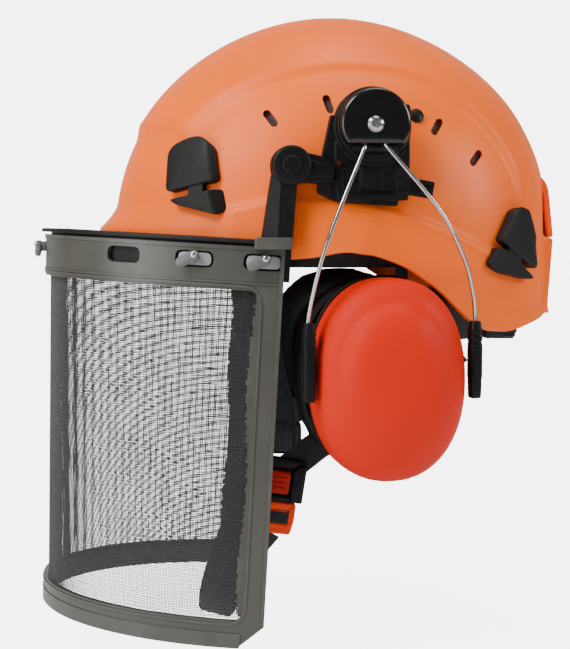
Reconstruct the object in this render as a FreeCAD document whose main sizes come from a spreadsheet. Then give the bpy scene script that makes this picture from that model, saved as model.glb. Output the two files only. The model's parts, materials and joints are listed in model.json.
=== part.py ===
"""Forestry helmet: shell, head suspension, ear defenders on wire arms and a mesh visor.

Millimetres. The wearer faces -Y, the wearer's left is +X and +Z is up. The origin is the centre of
the headband ring, at brow level. Pieces of the left side are built and the right side mirrors them.
"""
import FreeCAD, Part
import math
import os
import re
import Sketcher

DIMENSIONS = {
    # helmet shell
    "shell_half_width": 105, "shell_half_length": 133, "shell_height": 133, "shell_wall": 3,
    "skirt_drop": 60, "brim_half_length": 142.5, "brim_depth": 5, "vent_length": 11, "vent_width": 4.5,
    "plug_radius": 3.8,
    # headband and suspension
    "band_half_width": 82, "band_half_length": 101, "band_wall": 2, "band_top": 14, "band_bottom": -18,
    "cradle_half_width": 76, "cradle_half_length": 94, "cradle_top": -34, "cradle_bottom": -62,
    "strap_width": 22, "strap_thickness": 1.5, "wheel_radius": 17, "wheel_depth": 11, "wheel_height": -48,
    "flute_radius": 1.6, "rack_length": 44, "rack_height": 6, "rack_depth": 3, "pitch_radius": 5,
    # ear defender bracket, hub and wires
    "hub_rear": 10.4, "hub_height": 60, "bracket_radius": 21.5, "bracket_face": 104.4,
    "bracket_thickness": 7, "bracket_width": 41.5, "bracket_drop": 32, "hub_radius": 20,
    "hub_thickness": 5.3, "cap_radius": 18, "cap_thickness": 5, "screw_radius": 4, "wire_radius": 1.25,
    "knuckle_radius": 3.4, "knuckle_length": 23.4, "knuckle_face": 116.5, "knuckle_height": 48,
    # ear cup
    "cup_half_width": 42.4, "cup_half_height": 55, "cup_straight": 20, "cup_dome": 21, "cup_wall": 3,
    "cushion_half_width": 50, "cushion_half_height": 55, "cushion_depth": 15.7, "ear_half_width": 20,
    "ear_half_height": 32, "cup_face": 97, "cup_rear": 18.6, "cup_height": -76, "cup_yaw": 8,
    "sleeve_reach": 47.5, "sleeve_out": 19, "sleeve_width": 8, "sleeve_depth": 9, "sleeve_top": 29,
    "sleeve_bottom": -14, "sleeve_pin_radius": 2.4, "running_gap": 0.05,
    # visor
    "pivot_rear": -34.4, "pivot_height": 38.2, "pivot_radius": 10.5, "pin_radius": 3,
    "visor_half_width": 107, "visor_depth": 138.5, "visor_taper": 0.0411, "visor_height": 224,
    "visor_rear": -37, "visor_top": -6.6, "visor_pitch": 3.3, "frame_wall": 3, "window_top": -24.5,
    "window_bottom": -208.5, "side_strip": 14, "slot_length": 22, "slot_width": 9, "slot_level": -8.7,
    "mesh_wall": 0.3, "carrier_wall": 1.5, "lip_reach": 2.5, "lip_depth": 16, "lip_bottom": 2,
    "lip_top": 4.6, "lever_length": 10, "lever_width": 7, "lever_thickness": 5, "lever_shaft": 2.8,
    "arm_width": 14, "arm_thickness": 12,
    # chin harness
    "webbing_width": 18, "webbing_thickness": 1.8, "buckle_width": 30, "buckle_length": 23,
    "buckle_thickness": 10, "button_width": 12, "button_length": 13, "tongue_length": 19,
    "tongue_width": 24, "tongue_thickness": 4,
}

doc = FreeCAD.newDocument("forestry_helmet")
sheet = doc.addObject("Spreadsheet::Sheet", "Dims")
for row, (alias, number) in enumerate(DIMENSIONS.items(), start=1):
    sheet.set(f"A{row}", alias)
    sheet.set(f"B{row}", str(number))
    sheet.setAlias(f"B{row}", alias)
doc.recompute()

X_AXIS, Y_AXIS, Z_AXIS = FreeCAD.Vector(1, 0, 0), FreeCAD.Vector(0, 1, 0), FreeCAD.Vector(0, 0, 1)
NODES = []


def size(alias):
    """A driving dimension as the sheet holds it."""
    return float(sheet.get(alias))


def bound(expression):
    """An expression with each sheet name written the way an expression needs it."""
    return re.sub(r"[a-z][a-z_]+", lambda word: "Dims." + word.group(), str(expression))


def node(name, item):
    """Name a finished sub-part."""
    item.Label = name
    NODES.append(item)
    return item


def mirrored(name, item):
    """The same sub-part on the wearer's right."""
    twin = doc.addObject("Part::Mirroring", name)
    twin.Source, twin.Normal = item, X_AXIS
    node(name, twin)


def pair(name, item):
    """A left sub-part and its mirror image, each a node of its own."""
    node("left_" + name, item)
    mirrored("right_" + name, item)


def twins(name, item):
    """A left sub-part and its mirror image as one node of two solids."""
    twin = doc.addObject("Part::Mirroring", name + "_twin")
    twin.Source, twin.Normal = item, X_AXIS
    group = doc.addObject("Part::Compound", name)
    group.Links = [item, twin]
    node(name, group)


def add(kind, name, at=None, turn=None, **sizes):
    """A primitive whose sizes and place follow the sheet."""
    item = doc.addObject(kind, name)
    for key, expression in sizes.items():
        item.setExpression(key, bound(expression))
    if turn:
        item.Placement.Rotation = FreeCAD.Rotation(turn[0], turn[1])
    for letter, expression in zip("xyz", at or ()):
        item.setExpression("Placement.Base." + letter, bound(expression))
    return item


def box(name, low, high, turn=None):
    """A box between two corners, turned about its low corner."""
    sizes = [f"({top}) - ({bottom})" for bottom, top in zip(low, high)]
    return add("Part::Box", name, low, turn, Length=sizes[0], Width=sizes[1], Height=sizes[2])


def rod(name, start, length, radius, axis="x"):
    """A cylinder from start along an axis."""
    turns = {"x": (Y_AXIS, 90), "y": (X_AXIS, -90), "z": None}
    return add("Part::Cylinder", name, start, turns[axis], Radius=radius, Height=length)


def cut(name, base, *tools):
    """The base without the tools."""
    for index, tool in enumerate(tools):
        result = doc.addObject("Part::Cut", name if index == len(tools) - 1 else f"{name}_step{index}")
        result.Base, result.Tool = base, tool
        base = result
    return base


def fuse(name, *shapes):
    """One solid from overlapping shapes."""
    result = doc.addObject("Part::MultiFuse", name)
    result.Shapes = list(shapes)
    return result


def common(name, *shapes):
    """What all the shapes share."""
    result = doc.addObject("Part::MultiCommon", name)
    result.Shapes = list(shapes)
    return result


def feature(name, shape, placement=None):
    """A sub-part whose shape is computed."""
    item = doc.addObject("Part::Feature", name)
    item.Shape = shape
    if placement:
        item.Placement = placement
    return item


def dome(name, grow, lowest=0):
    """The upper half of the shell's ellipsoid, grown all round."""
    return add("Part::Ellipsoid", name, Radius1=f"shell_height + {grow}", Angle1=lowest,
               Radius2=f"shell_half_width + {grow}", Radius3=f"shell_half_length + {grow}")


def oval(name, half_width, half_length, bottom, top, at=(0, 0)):
    """An upright elliptical prism, longer along Y."""
    rim = add("Part::Ellipse", name + "_rim", (at[0], at[1], bottom), (Z_AXIS, 90),
              MajorRadius=half_length, MinorRadius=half_width)
    prism = add("Part::Extrusion", name, LengthFwd=f"({top}) - ({bottom})")
    prism.Base = rim
    prism.DirMode = "Custom"
    prism.Dir = Z_AXIS
    prism.Solid = True
    return prism


def standing_oval(name, half_width, half_height, start, length):
    """An elliptical prism along X, taller along Z, from X = start."""
    rim = add("Part::Ellipse", name + "_rim", (start, 0, 0), (Y_AXIS, 90),
              MajorRadius=half_height, MinorRadius=half_width)
    prism = add("Part::Extrusion", name, LengthFwd=length)
    prism.Base = rim
    prism.DirMode = "Custom"
    prism.Dir = X_AXIS
    prism.Solid = True
    return prism


def body_sketch(name, role):
    """A body with one sketch on one of its origin planes."""
    body = doc.addObject("PartDesign::Body", name)
    sketch = body.newObject("Sketcher::SketchObject", name + "_sketch")
    plane = next(item for item in body.Origin.OriginFeatures if item.Role == role)
    sketch.AttachmentSupport = [(plane, "")]
    sketch.MapMode = "FlatFace"
    return body, sketch


def bind(sketch, kind, *spec):
    """A sketch dimension that follows the sheet; the last item is the alias."""
    index = sketch.addConstraint(Sketcher.Constraint(kind, *spec[:-1], size(spec[-1])))
    sketch.setExpression(f"Constraints[{index}]", "Dims." + spec[-1])


def circle(sketch, radius):
    """A circle about the sketch's origin."""
    ring = sketch.addGeometry(Part.Circle(FreeCAD.Vector(0, 0, 0), Z_AXIS, size(radius)), False)
    sketch.addConstraint(Sketcher.Constraint("Coincident", ring, 3, -1, 1))
    bind(sketch, "Radius", ring, radius)


def rectangle(sketch, width, height):
    """A rectangle centred on the sketch's origin."""
    wide, tall = size(width) / 2, size(height) / 2
    signs = ((-1, -1), (1, -1), (1, 1), (-1, 1))
    corners = [FreeCAD.Vector(a * wide, b * tall, 0) for a, b in signs]
    for index, corner in enumerate(corners):
        sketch.addGeometry(Part.LineSegment(corner, corners[(index + 1) % 4]), False)
    for index in range(4):
        sketch.addConstraint(Sketcher.Constraint("Coincident", index, 2, (index + 1) % 4, 1))
        sketch.addConstraint(Sketcher.Constraint("Vertical" if index % 2 else "Horizontal", index))
    sketch.addConstraint(Sketcher.Constraint("Symmetric", 0, 1, 1, 2, -1, 1))
    bind(sketch, "DistanceX", 0, 1, 0, 2, width)
    bind(sketch, "DistanceY", 1, 1, 1, 2, height)


def plate(name, role, outline, sides, thickness, at):
    """A PartDesign plate: a circle or rectangle padded both ways from its plane."""
    body, sketch = body_sketch(name, role)
    outline(sketch, *sides)
    pad = body.newObject("PartDesign::Pad", name + "_pad")
    pad.Profile = sketch
    pad.SideType = "Symmetric"
    pad.setExpression("Length", "Dims." + thickness)
    for letter, expression in zip("xyz", at):
        body.setExpression("Placement.Base." + letter, bound(expression))
    return body


def prism(points, low, high):
    """A solid with a side-view outline of (y, z) points, from X = low to X = high."""
    corners = [FreeCAD.Vector(low, y, z) for y, z in points]
    return Part.Face(Part.makePolygon(corners + corners[:1])).extrude(FreeCAD.Vector(high - low, 0, 0))


def bent_path(points, radius):
    """Straight runs through the points, joined by tangent arcs."""
    corners = [FreeCAD.Vector(*point) for point in points]
    edges, start = [], corners[0]
    for before, corner, after in zip(corners, corners[1:], corners[2:]):
        inward = (before - corner).normalize()
        onward = (after - corner).normalize()
        half_angle = inward.getAngle(onward) / 2
        setback = radius / math.tan(half_angle)
        middle = (inward + onward).normalize() * (radius / math.sin(half_angle) - radius)
        first, last = corner + inward * setback, corner + onward * setback
        edges += [Part.LineSegment(start, first).toShape(), Part.Arc(first, corner + middle, last).toShape()]
        start = last
    edges.append(Part.LineSegment(start, corners[-1]).toShape())
    return Part.Wire(edges)


def tube(points, bend_radius, radius):
    """A round bar along a bent path."""
    path = bent_path(points, bend_radius)
    first = path.Edges[0]
    along = first.tangentAt(first.FirstParameter)
    section = Part.Wire(Part.Circle(FreeCAD.Vector(*points[0]), along, radius).toShape())
    return path.makePipeShell([section], True, True)


def ribbon(stations, width, thickness, ruled=True):
    """Webbing through stations of (centre, direction across the width, direction of the face)."""
    sections = []
    for centre, across, facing in stations:
        across, facing = across.normalize() * width / 2, facing.normalize() * thickness / 2
        corners = [centre + across + facing, centre - across + facing,
                   centre - across - facing, centre + across - facing]
        sections.append(Part.makePolygon(corners + corners[:1]))
    return Part.makeLoft(sections, True, ruled)


# ---------------------------------------------------------------- helmet shell
LOWER_EDGE = [(-150, 0), (-118, -3), (-80, -9), (-45, -13.5), (-22, -12), (-4, -8.6), (14, -11), (30, -17),
              (50, -30), (68, -47), (80, -54), (97, -55.5), (130, -47), (150, -45)]
VENTS = [(-43.5, 65.7, 34), (-11.2, 73.7, 16), (51.2, 61.7, -32), (74.8, 44.5, -40)]


def below_edge():
    """Everything below the shell's lower edge."""
    return feature("below_edge", prism(LOWER_EDGE + [(150, -90), (-150, -90)], -130, 130))


def shell():
    """Dome, skirt and brim with the vents, and the step at the back that takes the lamp hook."""
    outer = fuse("shell_outer", dome("outer_dome", "0"),
                 oval("outer_skirt", "shell_half_width", "shell_half_length", "-skirt_drop", "0"))
    inner = fuse("shell_inner", dome("inner_dome", "-shell_wall"),
                 oval("inner_skirt", "shell_half_width - shell_wall", "shell_half_length - shell_wall",
                      "-skirt_drop - 1", "0"))
    peak = common("peak", oval("peak_oval", "shell_half_width - 0.5", "brim_half_length", "-6", "brim_depth"),
                  box("peak_box", ("-shell_half_width", "-160", "-7"), ("shell_half_width", "-70", "6")))
    step = feature("rear_step", prism([(120, -1), (139.5, -1), (136.5, -38), (120, -40)], -26, 26))
    vents = doc.addObject("Part::Compound", "vents")
    vents.Links = [vent_bar(index, *vent) for index, vent in enumerate(VENTS)]
    plug_hole = rod("plug_hole", ("-130", "39", "67.5"), "260", "plug_radius + running_gap")
    node("helmet_shell", cut("helmet_shell", fuse("shell_solid", outer, peak, step), inner, below_edge(),
                             plug_hole, vents))


def vent_bar(index, rear, height, lean):
    """A slot through both sides of the shell, leaning by an angle in the side view."""
    bar = add("Part::Box", f"vent_{index}", Length="260", Width="vent_width", Height="vent_length")
    turn = FreeCAD.Rotation(X_AXIS, lean)
    corner = turn.multVec(FreeCAD.Vector(0, -size("vent_width") / 2, -size("vent_length") / 2))
    bar.Placement = FreeCAD.Placement(FreeCAD.Vector(-130, rear, height) + corner, turn)
    return bar


def surface_clip(name, outline, stand_off, low_x, high_x):
    """A block with a side-view outline that follows the shell's surface."""
    rough = feature(name + "_rough", prism(outline, low_x, high_x))
    skin = fuse(name + "_skin", dome(name + "_dome", stand_off),
                oval(name + "_skirt", f"shell_half_width + {stand_off}", f"shell_half_length + {stand_off}",
                     "-skirt_drop", "0"))
    bed = fuse(name + "_bed", dome(name + "_bed_dome", "running_gap"),
               oval(name + "_bed_skirt", "shell_half_width + running_gap", "shell_half_length + running_gap",
                    "-skirt_drop - 1", "0"))
    return cut(name, common(name + "_patch", rough, skin), bed)


def lamp_clips():
    """Four corner clips that hold a head lamp's strap, each a hooked upper jaw over a small foot."""
    front = [(-100.5, 24), (-99, 47), (-96, 51), (-88, 55), (-81, 56), (-75.5, 50.5), (-72.5, 31), (-86, 27),
             (-86, 22.5), (-72, 27.5), (-70, 14), (-75, 12), (-95.5, 17), (-99.5, 20.5), (-88, 23),
             (-88, 26.5)]
    rear = [(87.8, -2.7), (97.5, 14.6), (101.8, 17), (108, 14.8), (115.3, 8.8), (118.3, -1.2), (112.5, -20),
            (103, -13), (102, -16.5), (111, -25.2), (104.5, -25.5), (85.5, -20.7), (78.7, -16.4),
            (85.6, -6.3),
            (91, -7.5), (99.5, -14.5), (100.5, -11)]
    twins("front_lamp_clips", surface_clip("left_front_lamp_clip", front, "6", 50, 130))
    twins("rear_lamp_clips", surface_clip("left_rear_lamp_clip", rear, "6", 40, 130))


def rear_hook():
    """The flap at the back that a lamp's strap hooks under."""
    rough = box("hook_box", ("-20", "100", "0"), ("20", "150", "37"))
    skin = common("hook_skin", rough, oval("hook_outer", "120", "shell_half_length + 6.5", "-1", "38"))
    bed = cut("hook_bed", skin, oval("hook_inner", "116", "shell_half_length + 3.5", "-2", "29"),
              dome("hook_dome", "running_gap"))
    node("rear_lamp_hook", bed)


def shell_plugs():
    """The round plug on each side, above the bracket."""
    stub = rod("plug_stub", ("70", "39", "67.5"), "40", "plug_radius")
    band = common("plug_band", stub, dome("plug_dome", "1"))
    left = cut("plug_left", band, dome("plug_inside", "-shell_wall"))
    twins("shell_plugs", left)


# ---------------------------------------------------------------- suspension
def ring(name, half_width, half_length, wall, bottom, top):
    """An elliptical hoop."""
    return cut(name, oval(name + "_outer", half_width, half_length, bottom, top),
               oval(name + "_inner", f"{half_width} - {wall}", f"{half_length} - {wall}",
                    f"({bottom}) - 1", f"({top}) + 1"))


def headband():
    """Brow and temple band, open at the nape, with its brow pad."""
    hoop = ring("band_hoop", "band_half_width", "band_half_length", "band_wall", "band_bottom", "band_top")
    gap = box("band_gap", ("-90", "72", "-20"), ("90", "110", "20"))
    node("headband", cut("headband", hoop, gap))
    pad = ring("brow_ring", "band_half_width - 2.3", "band_half_length - 2.3", "6", "-13", "11")
    node("brow_pad", cut("brow_pad", pad, box("brow_trim", ("-90", "-52", "-20"), ("90", "110", "20"))))


def nape():
    """Cradle low behind the head, hung from the band's tails, with its pad."""
    hoop = ring("cradle_hoop", "cradle_half_width", "cradle_half_length", "band_wall",
                "cradle_bottom", "cradle_top")
    arc = cut("cradle_arc", hoop, box("cradle_trim", ("-90", "-100", "-70"), ("90", "52", "-30")))
    strut = box("cradle_strut", ("60", "52", "cradle_top - 4"), ("66", "60", "band_bottom - running_gap"))
    left_strut = common("cradle_left_strut", strut, oval("strut_skin", "cradle_half_width + 6",
                        "cradle_half_length + 6", "-70", "0"))
    right_strut = doc.addObject("Part::Mirroring", "cradle_right_strut")
    right_strut.Source, right_strut.Normal = left_strut, X_AXIS
    node("nape_cradle", fuse("nape_cradle", arc, left_strut, right_strut))
    pad = ring("nape_ring", "cradle_half_width - 2.3", "cradle_half_length - 2.3", "6", "-58", "-38")
    node("nape_pad", cut("nape_pad", pad, box("nape_trim", ("-90", "-100", "-70"), ("90", "64", "-30"))))


def fit_wheel():
    """Ratchet housing with the wheel, its pinion and the two racks."""
    low, high = "wheel_height - 15", "wheel_height + 15"
    case = box("case_block", ("-26", "cradle_half_length + running_gap", low), ("26", "105.5", high))
    cavity = box("case_cavity", ("-27", "97", "wheel_height - 9.5"), ("27", "103.5", "wheel_height + 9.5"))
    bore = rod("case_bore", ("0", "103", "wheel_height"), "5", "2.5 + running_gap", "y")
    node("fit_wheel_housing", cut("fit_wheel_housing", case, cavity, bore))

    wheel, sketch = body_sketch("fit_wheel", "XZ_Plane")
    circle(sketch, "wheel_radius")
    pad = wheel.newObject("PartDesign::Pad", "wheel_pad")
    pad.Profile, pad.SideType = sketch, "Symmetric"
    pad.setExpression("Length", "Dims.wheel_depth")
    doc.recompute()
    flute_sketch = wheel.newObject("Sketcher::SketchObject", "flute_sketch")
    flute_sketch.AttachmentSupport = sketch.AttachmentSupport
    flute_sketch.MapMode = "FlatFace"
    flute = flute_sketch.addGeometry(Part.Circle(FreeCAD.Vector(size("wheel_radius"), 0, 0), Z_AXIS,
                                                 size("flute_radius")), False)
    flute_sketch.addConstraint(Sketcher.Constraint("PointOnObject", flute, 3, -1))
    bind(flute_sketch, "Radius", flute, "flute_radius")
    bind(flute_sketch, "DistanceX", -1, 1, flute, 3, "wheel_radius")
    groove = wheel.newObject("PartDesign::Pocket", "wheel_groove")
    groove.Profile, groove.Type, groove.Midplane = flute_sketch, "ThroughAll", True
    doc.recompute()
    pattern = wheel.newObject("PartDesign::PolarPattern", "wheel_grip")
    pattern.Originals = [groove]
    pattern.Axis = (sketch, ["N_Axis"])
    pattern.Angle, pattern.Occurrences = 360, 20
    wheel.Tip = pattern
    wheel.setExpression("Placement.Base.y", "105.8 + Dims.wheel_depth / 2")
    wheel.setExpression("Placement.Base.z", "Dims.wheel_height")
    node("fit_wheel", wheel)

    shaft = Part.makeCylinder(2.5, 5.7, FreeCAD.Vector(0, 100, 0), Y_AXIS)
    pinion = gear_face(0.0).extrude(FreeCAD.Vector(0, 2.4, 0))
    pinion.translate(FreeCAD.Vector(0, 98.8, 0))
    node("fit_pinion", feature("fit_pinion", pinion.fuse(shaft).removeSplitter(),
                               FreeCAD.Placement(FreeCAD.Vector(0, 0, size("wheel_height")), FreeCAD.Rotation())))
    for side, sign in (("left", 1), ("right", -1)):
        place = FreeCAD.Placement(FreeCAD.Vector(0, 98.6, size("wheel_height")),
                                  FreeCAD.Rotation(Y_AXIS, 0 if sign > 0 else 180))
        bar = rack_face().extrude(FreeCAD.Vector(0, size("rack_depth"), 0))
        node(f"{side}_rack", feature(f"{side}_rack", bar, place))


TEETH = 8
TOOTH_HALF_HEIGHT = 1.1


def gear_face(turn):
    """The pinion's outline in the XZ plane."""
    corners = []
    for tooth in range(TEETH):
        middle = turn + 2 * math.pi * tooth / TEETH
        for offset, reach in ((-0.30, -1.3), (-0.13, 1), (0.13, 1), (0.30, -1.3)):
            radius = size("pitch_radius") + reach * TOOTH_HALF_HEIGHT
            angle = middle + offset * 2 * math.pi / TEETH
            corners.append(FreeCAD.Vector(radius * math.sin(angle), 0, radius * math.cos(angle)))
    return Part.Face(Part.makePolygon(corners + corners[:1]))


def rack_face():
    """The rack's outline in the XZ plane: teeth down, towards the pinion."""
    pitch = 2 * math.pi * size("pitch_radius") / TEETH
    level = size("pitch_radius")
    corners = []
    for gap in range(-2, 4):
        middle = gap * pitch
        for offset, reach in ((-0.32, -0.9), (-0.20, 1.3), (0.20, 1.3), (0.32, -0.9)):
            corners.append(FreeCAD.Vector(middle + offset * pitch, 0, level + reach * TOOTH_HALF_HEIGHT))
    top = level + 1.3 * TOOTH_HALF_HEIGHT + 2
    last = size("rack_length") - 10
    corners += [FreeCAD.Vector(last, 0, level - 0.9 * TOOTH_HALF_HEIGHT), FreeCAD.Vector(last, 0, top),
                FreeCAD.Vector(corners[0].x, 0, top)]
    return Part.Face(Part.makePolygon(corners + corners[:1]))


def crown():
    """Two crossing straps over the head, the clips that hold them to the shell and a crown pad."""
    clip_level = 34
    for name, half_span, rise, along in (("lengthwise_crown_strap", 114, 108.8, Y_AXIS),
                                         ("crosswise_crown_strap", 90, 105.8, X_AXIS)):
        across = X_AXIS if along == Y_AXIS else Y_AXIS
        low = math.degrees(math.asin(clip_level / rise))
        stations = []
        for index in range(13):
            angle = math.radians(low + (180 - 2 * low) * index / 12)
            centre = along * (half_span * math.cos(angle)) + Z_AXIS * (rise * math.sin(angle))
            facing = along * (math.cos(angle) / half_span) + Z_AXIS * (math.sin(angle) / rise)
            stations.append((centre, FreeCAD.Vector(across), facing))
        node(name, feature(name, ribbon(stations, size("strap_width"), size("strap_thickness"))))
    blocks = []
    for x, y, wide, deep in ((0, 113, 26, 20), (0, -113, 26, 20), (90.5, 0, 14, 26), (-90.5, 0, 14, 26)):
        block = Part.makeBox(wide, deep, 28, FreeCAD.Vector(x - wide / 2, y - deep / 2, 5.5))
        blocks.append(block)
    held = Part.makeCompound(blocks)
    inside = doc.getObject("shell_inner")
    doc.recompute()
    node("suspension_clips", common("suspension_clips", feature("clip_blocks", held), inside))
    pad = cut("pad_sheet", common("pad_block", add("Part::Ellipsoid", "pad_outer", Radius1="103.8", Radius2="88",
                                                   Radius3="100", Angle1="0"),
                                  box("pad_box", ("-30", "-40", "60"), ("30", "40", "110"))),
              add("Part::Ellipsoid", "pad_inner", Radius1="99", Radius2="83", Radius3="95", Angle1="0"))
    node("crown_pad", pad)


# ---------------------------------------------------------------- ear defenders
def hub_at(forward):
    """The hub's axis in a side view, at X = forward."""
    return (forward, "hub_rear", "hub_height")


def mount_line(x, y, z):
    """A place along the visor mount's bar, which slopes down to the rear from the pivot."""
    turn = FreeCAD.Rotation(X_AXIS, -8)
    pivot = FreeCAD.Vector(106.4, size("pivot_rear"), size("pivot_height"))
    return FreeCAD.Placement(pivot + turn.multVec(FreeCAD.Vector(x, y, z)), turn)


def bracket():
    """Side bracket with a channel for the visor mount and a web that beds on the shell."""
    face = "bracket_face + bracket_thickness / 2"
    top = plate("bracket_top", "YZ_Plane", circle, ["bracket_radius"], "bracket_thickness", hub_at(face))
    foot = plate("bracket_foot", "YZ_Plane", rectangle, ["bracket_width", "bracket_drop"], "bracket_thickness",
                 (face, "hub_rear", "20 + bracket_drop / 2"))
    web = cut("bracket_web", box("web_block", ("84", "-4", "26"), ("bracket_face + 1", "25", "72")),
              dome("web_bed", "running_gap"))
    channel = add("Part::Box", "channel", Length="4.2", Width="90", Height="9.8")
    channel.Placement = mount_line(-0.2, -5, -4.9)
    pair("bracket", cut("left_bracket", fuse("bracket_solid", top, foot, web), channel))


def hub():
    """The disc that turns on the bracket, its cap and the screw that holds them."""
    start = 111.7
    disc = plate("hub_disc", "YZ_Plane", circle, ["hub_radius"], "hub_thickness",
                 hub_at(f"{start} + hub_thickness / 2"))
    trough = box("hub_trough", ("112.9", "-1.5", "38"), ("125", "22.3", "52.4"))
    pivot = rod("knuckle_hole", ("knuckle_face", "-12", "knuckle_height"), "44", "1.6 + running_gap", "y")
    ears = box("hub_ears", ("115", "-4.5", "43.5"), ("120.5", "25.3", "52.4"))
    middle = rod("hub_screw_hole", ("110", "hub_rear", "hub_height"), "30", "2 + running_gap")
    pair("hub", cut("left_hub", fuse("hub_solid", disc, ears), trough, pivot, middle))
    cap = plate("cap_disc", "YZ_Plane", circle, ["cap_radius"], "cap_thickness",
                hub_at(f"{start} + hub_thickness + cap_thickness / 2 + running_gap"))
    chord = box("cap_chord", ("100", "-20", "30"), ("130", "40", "52.8"))
    pair("hub_cap", cut("left_hub_cap", cap, chord, rod("cap_hole", hub_at("110"), "30", "2 + running_gap")))
    shank = rod("screw_shank", hub_at("112.4"), "11", "2")
    face = hub_at(f"{start} + hub_thickness + cap_thickness + 2 * running_gap")
    head = rod("screw_head", face, "1.8", "screw_radius")
    pair("hub_screw", fuse("left_hub_screw", shank, head))


def cup_place():
    """Where the ear cup's own frame stands: x outward, y to the rear, z up."""
    return FreeCAD.Placement(FreeCAD.Vector(size("cup_face"), size("cup_rear"), size("cup_height")),
                             FreeCAD.Rotation(Z_AXIS, size("cup_yaw")))


def wire_foot(sign, level):
    """A point on the wire's straight lower leg, at a level in the cup's frame."""
    return cup_place().multVec(FreeCAD.Vector(size("sleeve_out"), sign * size("sleeve_reach"), level))


def wire_arms():
    """Knuckle in the hub's trough and the two spring wires down to the sleeves."""
    barrel = rod("knuckle_barrel", ("knuckle_face", "hub_rear - knuckle_length / 2", "knuckle_height"),
                 "knuckle_length", "knuckle_radius", "y")
    stubs = rod("knuckle_stubs", ("knuckle_face", "-4", "knuckle_height"), "28.8", "1.6", "y")
    holes, wires = [], []
    for name, sign, top, middle in (("front_wire", -1, (3.5, 48.5), (128, -20.9, -15.4)),
                                    ("rear_wire", 1, (17.5, 48.5), (122, 50, 4))):
        start = (size("knuckle_face"), top[0], top[1] - 1)
        foot, end = wire_foot(sign, size("sleeve_top") + 3), wire_foot(sign, size("sleeve_bottom") + 1)
        points = [start, middle, tuple(foot), tuple(end)]
        if sign > 0:
            points.insert(2, (116, 62, -20))
        shape = tube(points, 7, size("wire_radius"))
        holes.append(feature(name + "_hole", tube([start, middle, tuple(foot)], 7, size("wire_radius"))))
        wires.append(shape)
    pair("wires", feature("left_wires", Part.makeCompound(wires)))
    pair("wire_knuckle", cut("left_wire_knuckle", fuse("knuckle_solid", barrel, stubs), *holes))


def in_cup_frame(name, item):
    """The same shape moved from the cup's frame to where the cup hangs."""
    doc.recompute()
    return feature(name, Part.Shape(item.Shape), cup_place())


def sleeves():
    """The two plastic ends on the wires that carry the cup."""
    blocks = []
    for word, sign in (("front", -1), ("rear", 1)):
        middle = f"{sign} * sleeve_reach"
        block = box(f"sleeve_{word}",
                    ("sleeve_out - sleeve_width / 2", f"{middle} - sleeve_depth / 2", "sleeve_bottom"),
                    ("sleeve_out + sleeve_width / 2", f"{middle} + sleeve_depth / 2", "sleeve_top"))
        bore = rod(f"sleeve_bore_{word}", ("sleeve_out", middle, "sleeve_bottom - 1"), "50",
                   "wire_radius + running_gap", "z")
        socket = rod(f"sleeve_socket_{word}", ("sleeve_out", "-45" if sign < 0 else "42", "7"), "3",
                     "sleeve_pin_radius + running_gap", "y")
        blocks.append(cut(f"sleeve_body_{word}", block, bore, socket))
    group = doc.addObject("Part::Compound", "sleeve_group")
    group.Links = blocks
    pair("sleeves", in_cup_frame("left_sleeves", group))


def cup_end(name, inset):
    """The domed outer end of the cup."""
    return add("Part::Ellipsoid", name, ("cup_straight", 0, 0), (Y_AXIS, 90), Angle1="0",
               Radius1=f"cup_dome - {inset}", Radius2=f"cup_half_height - {inset}",
               Radius3=f"cup_half_width - {inset}")


def cup():
    """Cup shell, base plate, foam and ear cushion in the cup's frame."""
    side = standing_oval("cup_side", "cup_half_width", "cup_half_height", "0.1", "cup_straight - 0.1")
    outer = fuse("cup_outer", side,
                 cup_end("cup_top", "0"))
    inner = fuse("cup_inner", standing_oval("cup_side_in", "cup_half_width - cup_wall",
                                            "cup_half_height - cup_wall", "-1", "cup_straight + 1"),
                 cup_end("cup_top_in", "cup_wall"))
    hollow = cut("cup_hollow", outer, inner, box("cup_trim", ("-60", "-60", "-60"), ("0.1", "60", "60")))
    pins = []
    for word, start in (("front", "-44.7"), ("rear", "41")):
        pins.append(rod(f"cup_pin_{word}", ("sleeve_out", start, "7"), "3.7", "sleeve_pin_radius", "y"))
    pair("cup_shell", in_cup_frame("left_cup_shell", fuse("cup_solid", hollow, *pins)))
    hole = standing_oval("ear_hole", "ear_half_width", "ear_half_height", "-40", "60")
    base = cut("cup_base_solid", standing_oval("cup_base_plate", "cup_half_width + 1", "cup_half_height + 1",
                                               "-3", "3"), hole)
    pair("cup_base", in_cup_frame("left_cup_base", base))
    foam = standing_oval("foam_block", "cup_half_width - 5", "cup_half_height - 5", "12", "11")
    pair("cup_foam", in_cup_frame("left_cup_foam", foam))
    cushion = cut("cushion_solid", standing_oval("cushion_ring", "cushion_half_width", "cushion_half_height",
                                                 "-3.3 - cushion_depth", "cushion_depth"), hole)
    pair("ear_cushion", in_cup_frame("left_ear_cushion", cushion))


# ---------------------------------------------------------------- visor
def visor_place():
    """Where the visor's own frame stands: its rear top edge, pitched with the front up."""
    return FreeCAD.Placement(FreeCAD.Vector(0, size("visor_rear"), size("visor_top")),
                             FreeCAD.Rotation(X_AXIS, -size("visor_pitch")))


def visor_cone(name, inset, top, bottom):
    """The visor's tapering half-oval, filled, between two levels."""
    rims = []
    for word, level in (("top", top), ("bottom", bottom)):
        rims.append(add("Part::Ellipse", f"{name}_{word}", (0, 0, level), (Z_AXIS, 90),
                        MajorRadius=f"visor_depth + ({level}) * visor_taper - ({inset})",
                        MinorRadius=f"visor_half_width - ({inset})"))
    loft = doc.addObject("Part::Loft", name)
    loft.Sections, loft.Solid, loft.Ruled = rims, True, True
    return loft


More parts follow.
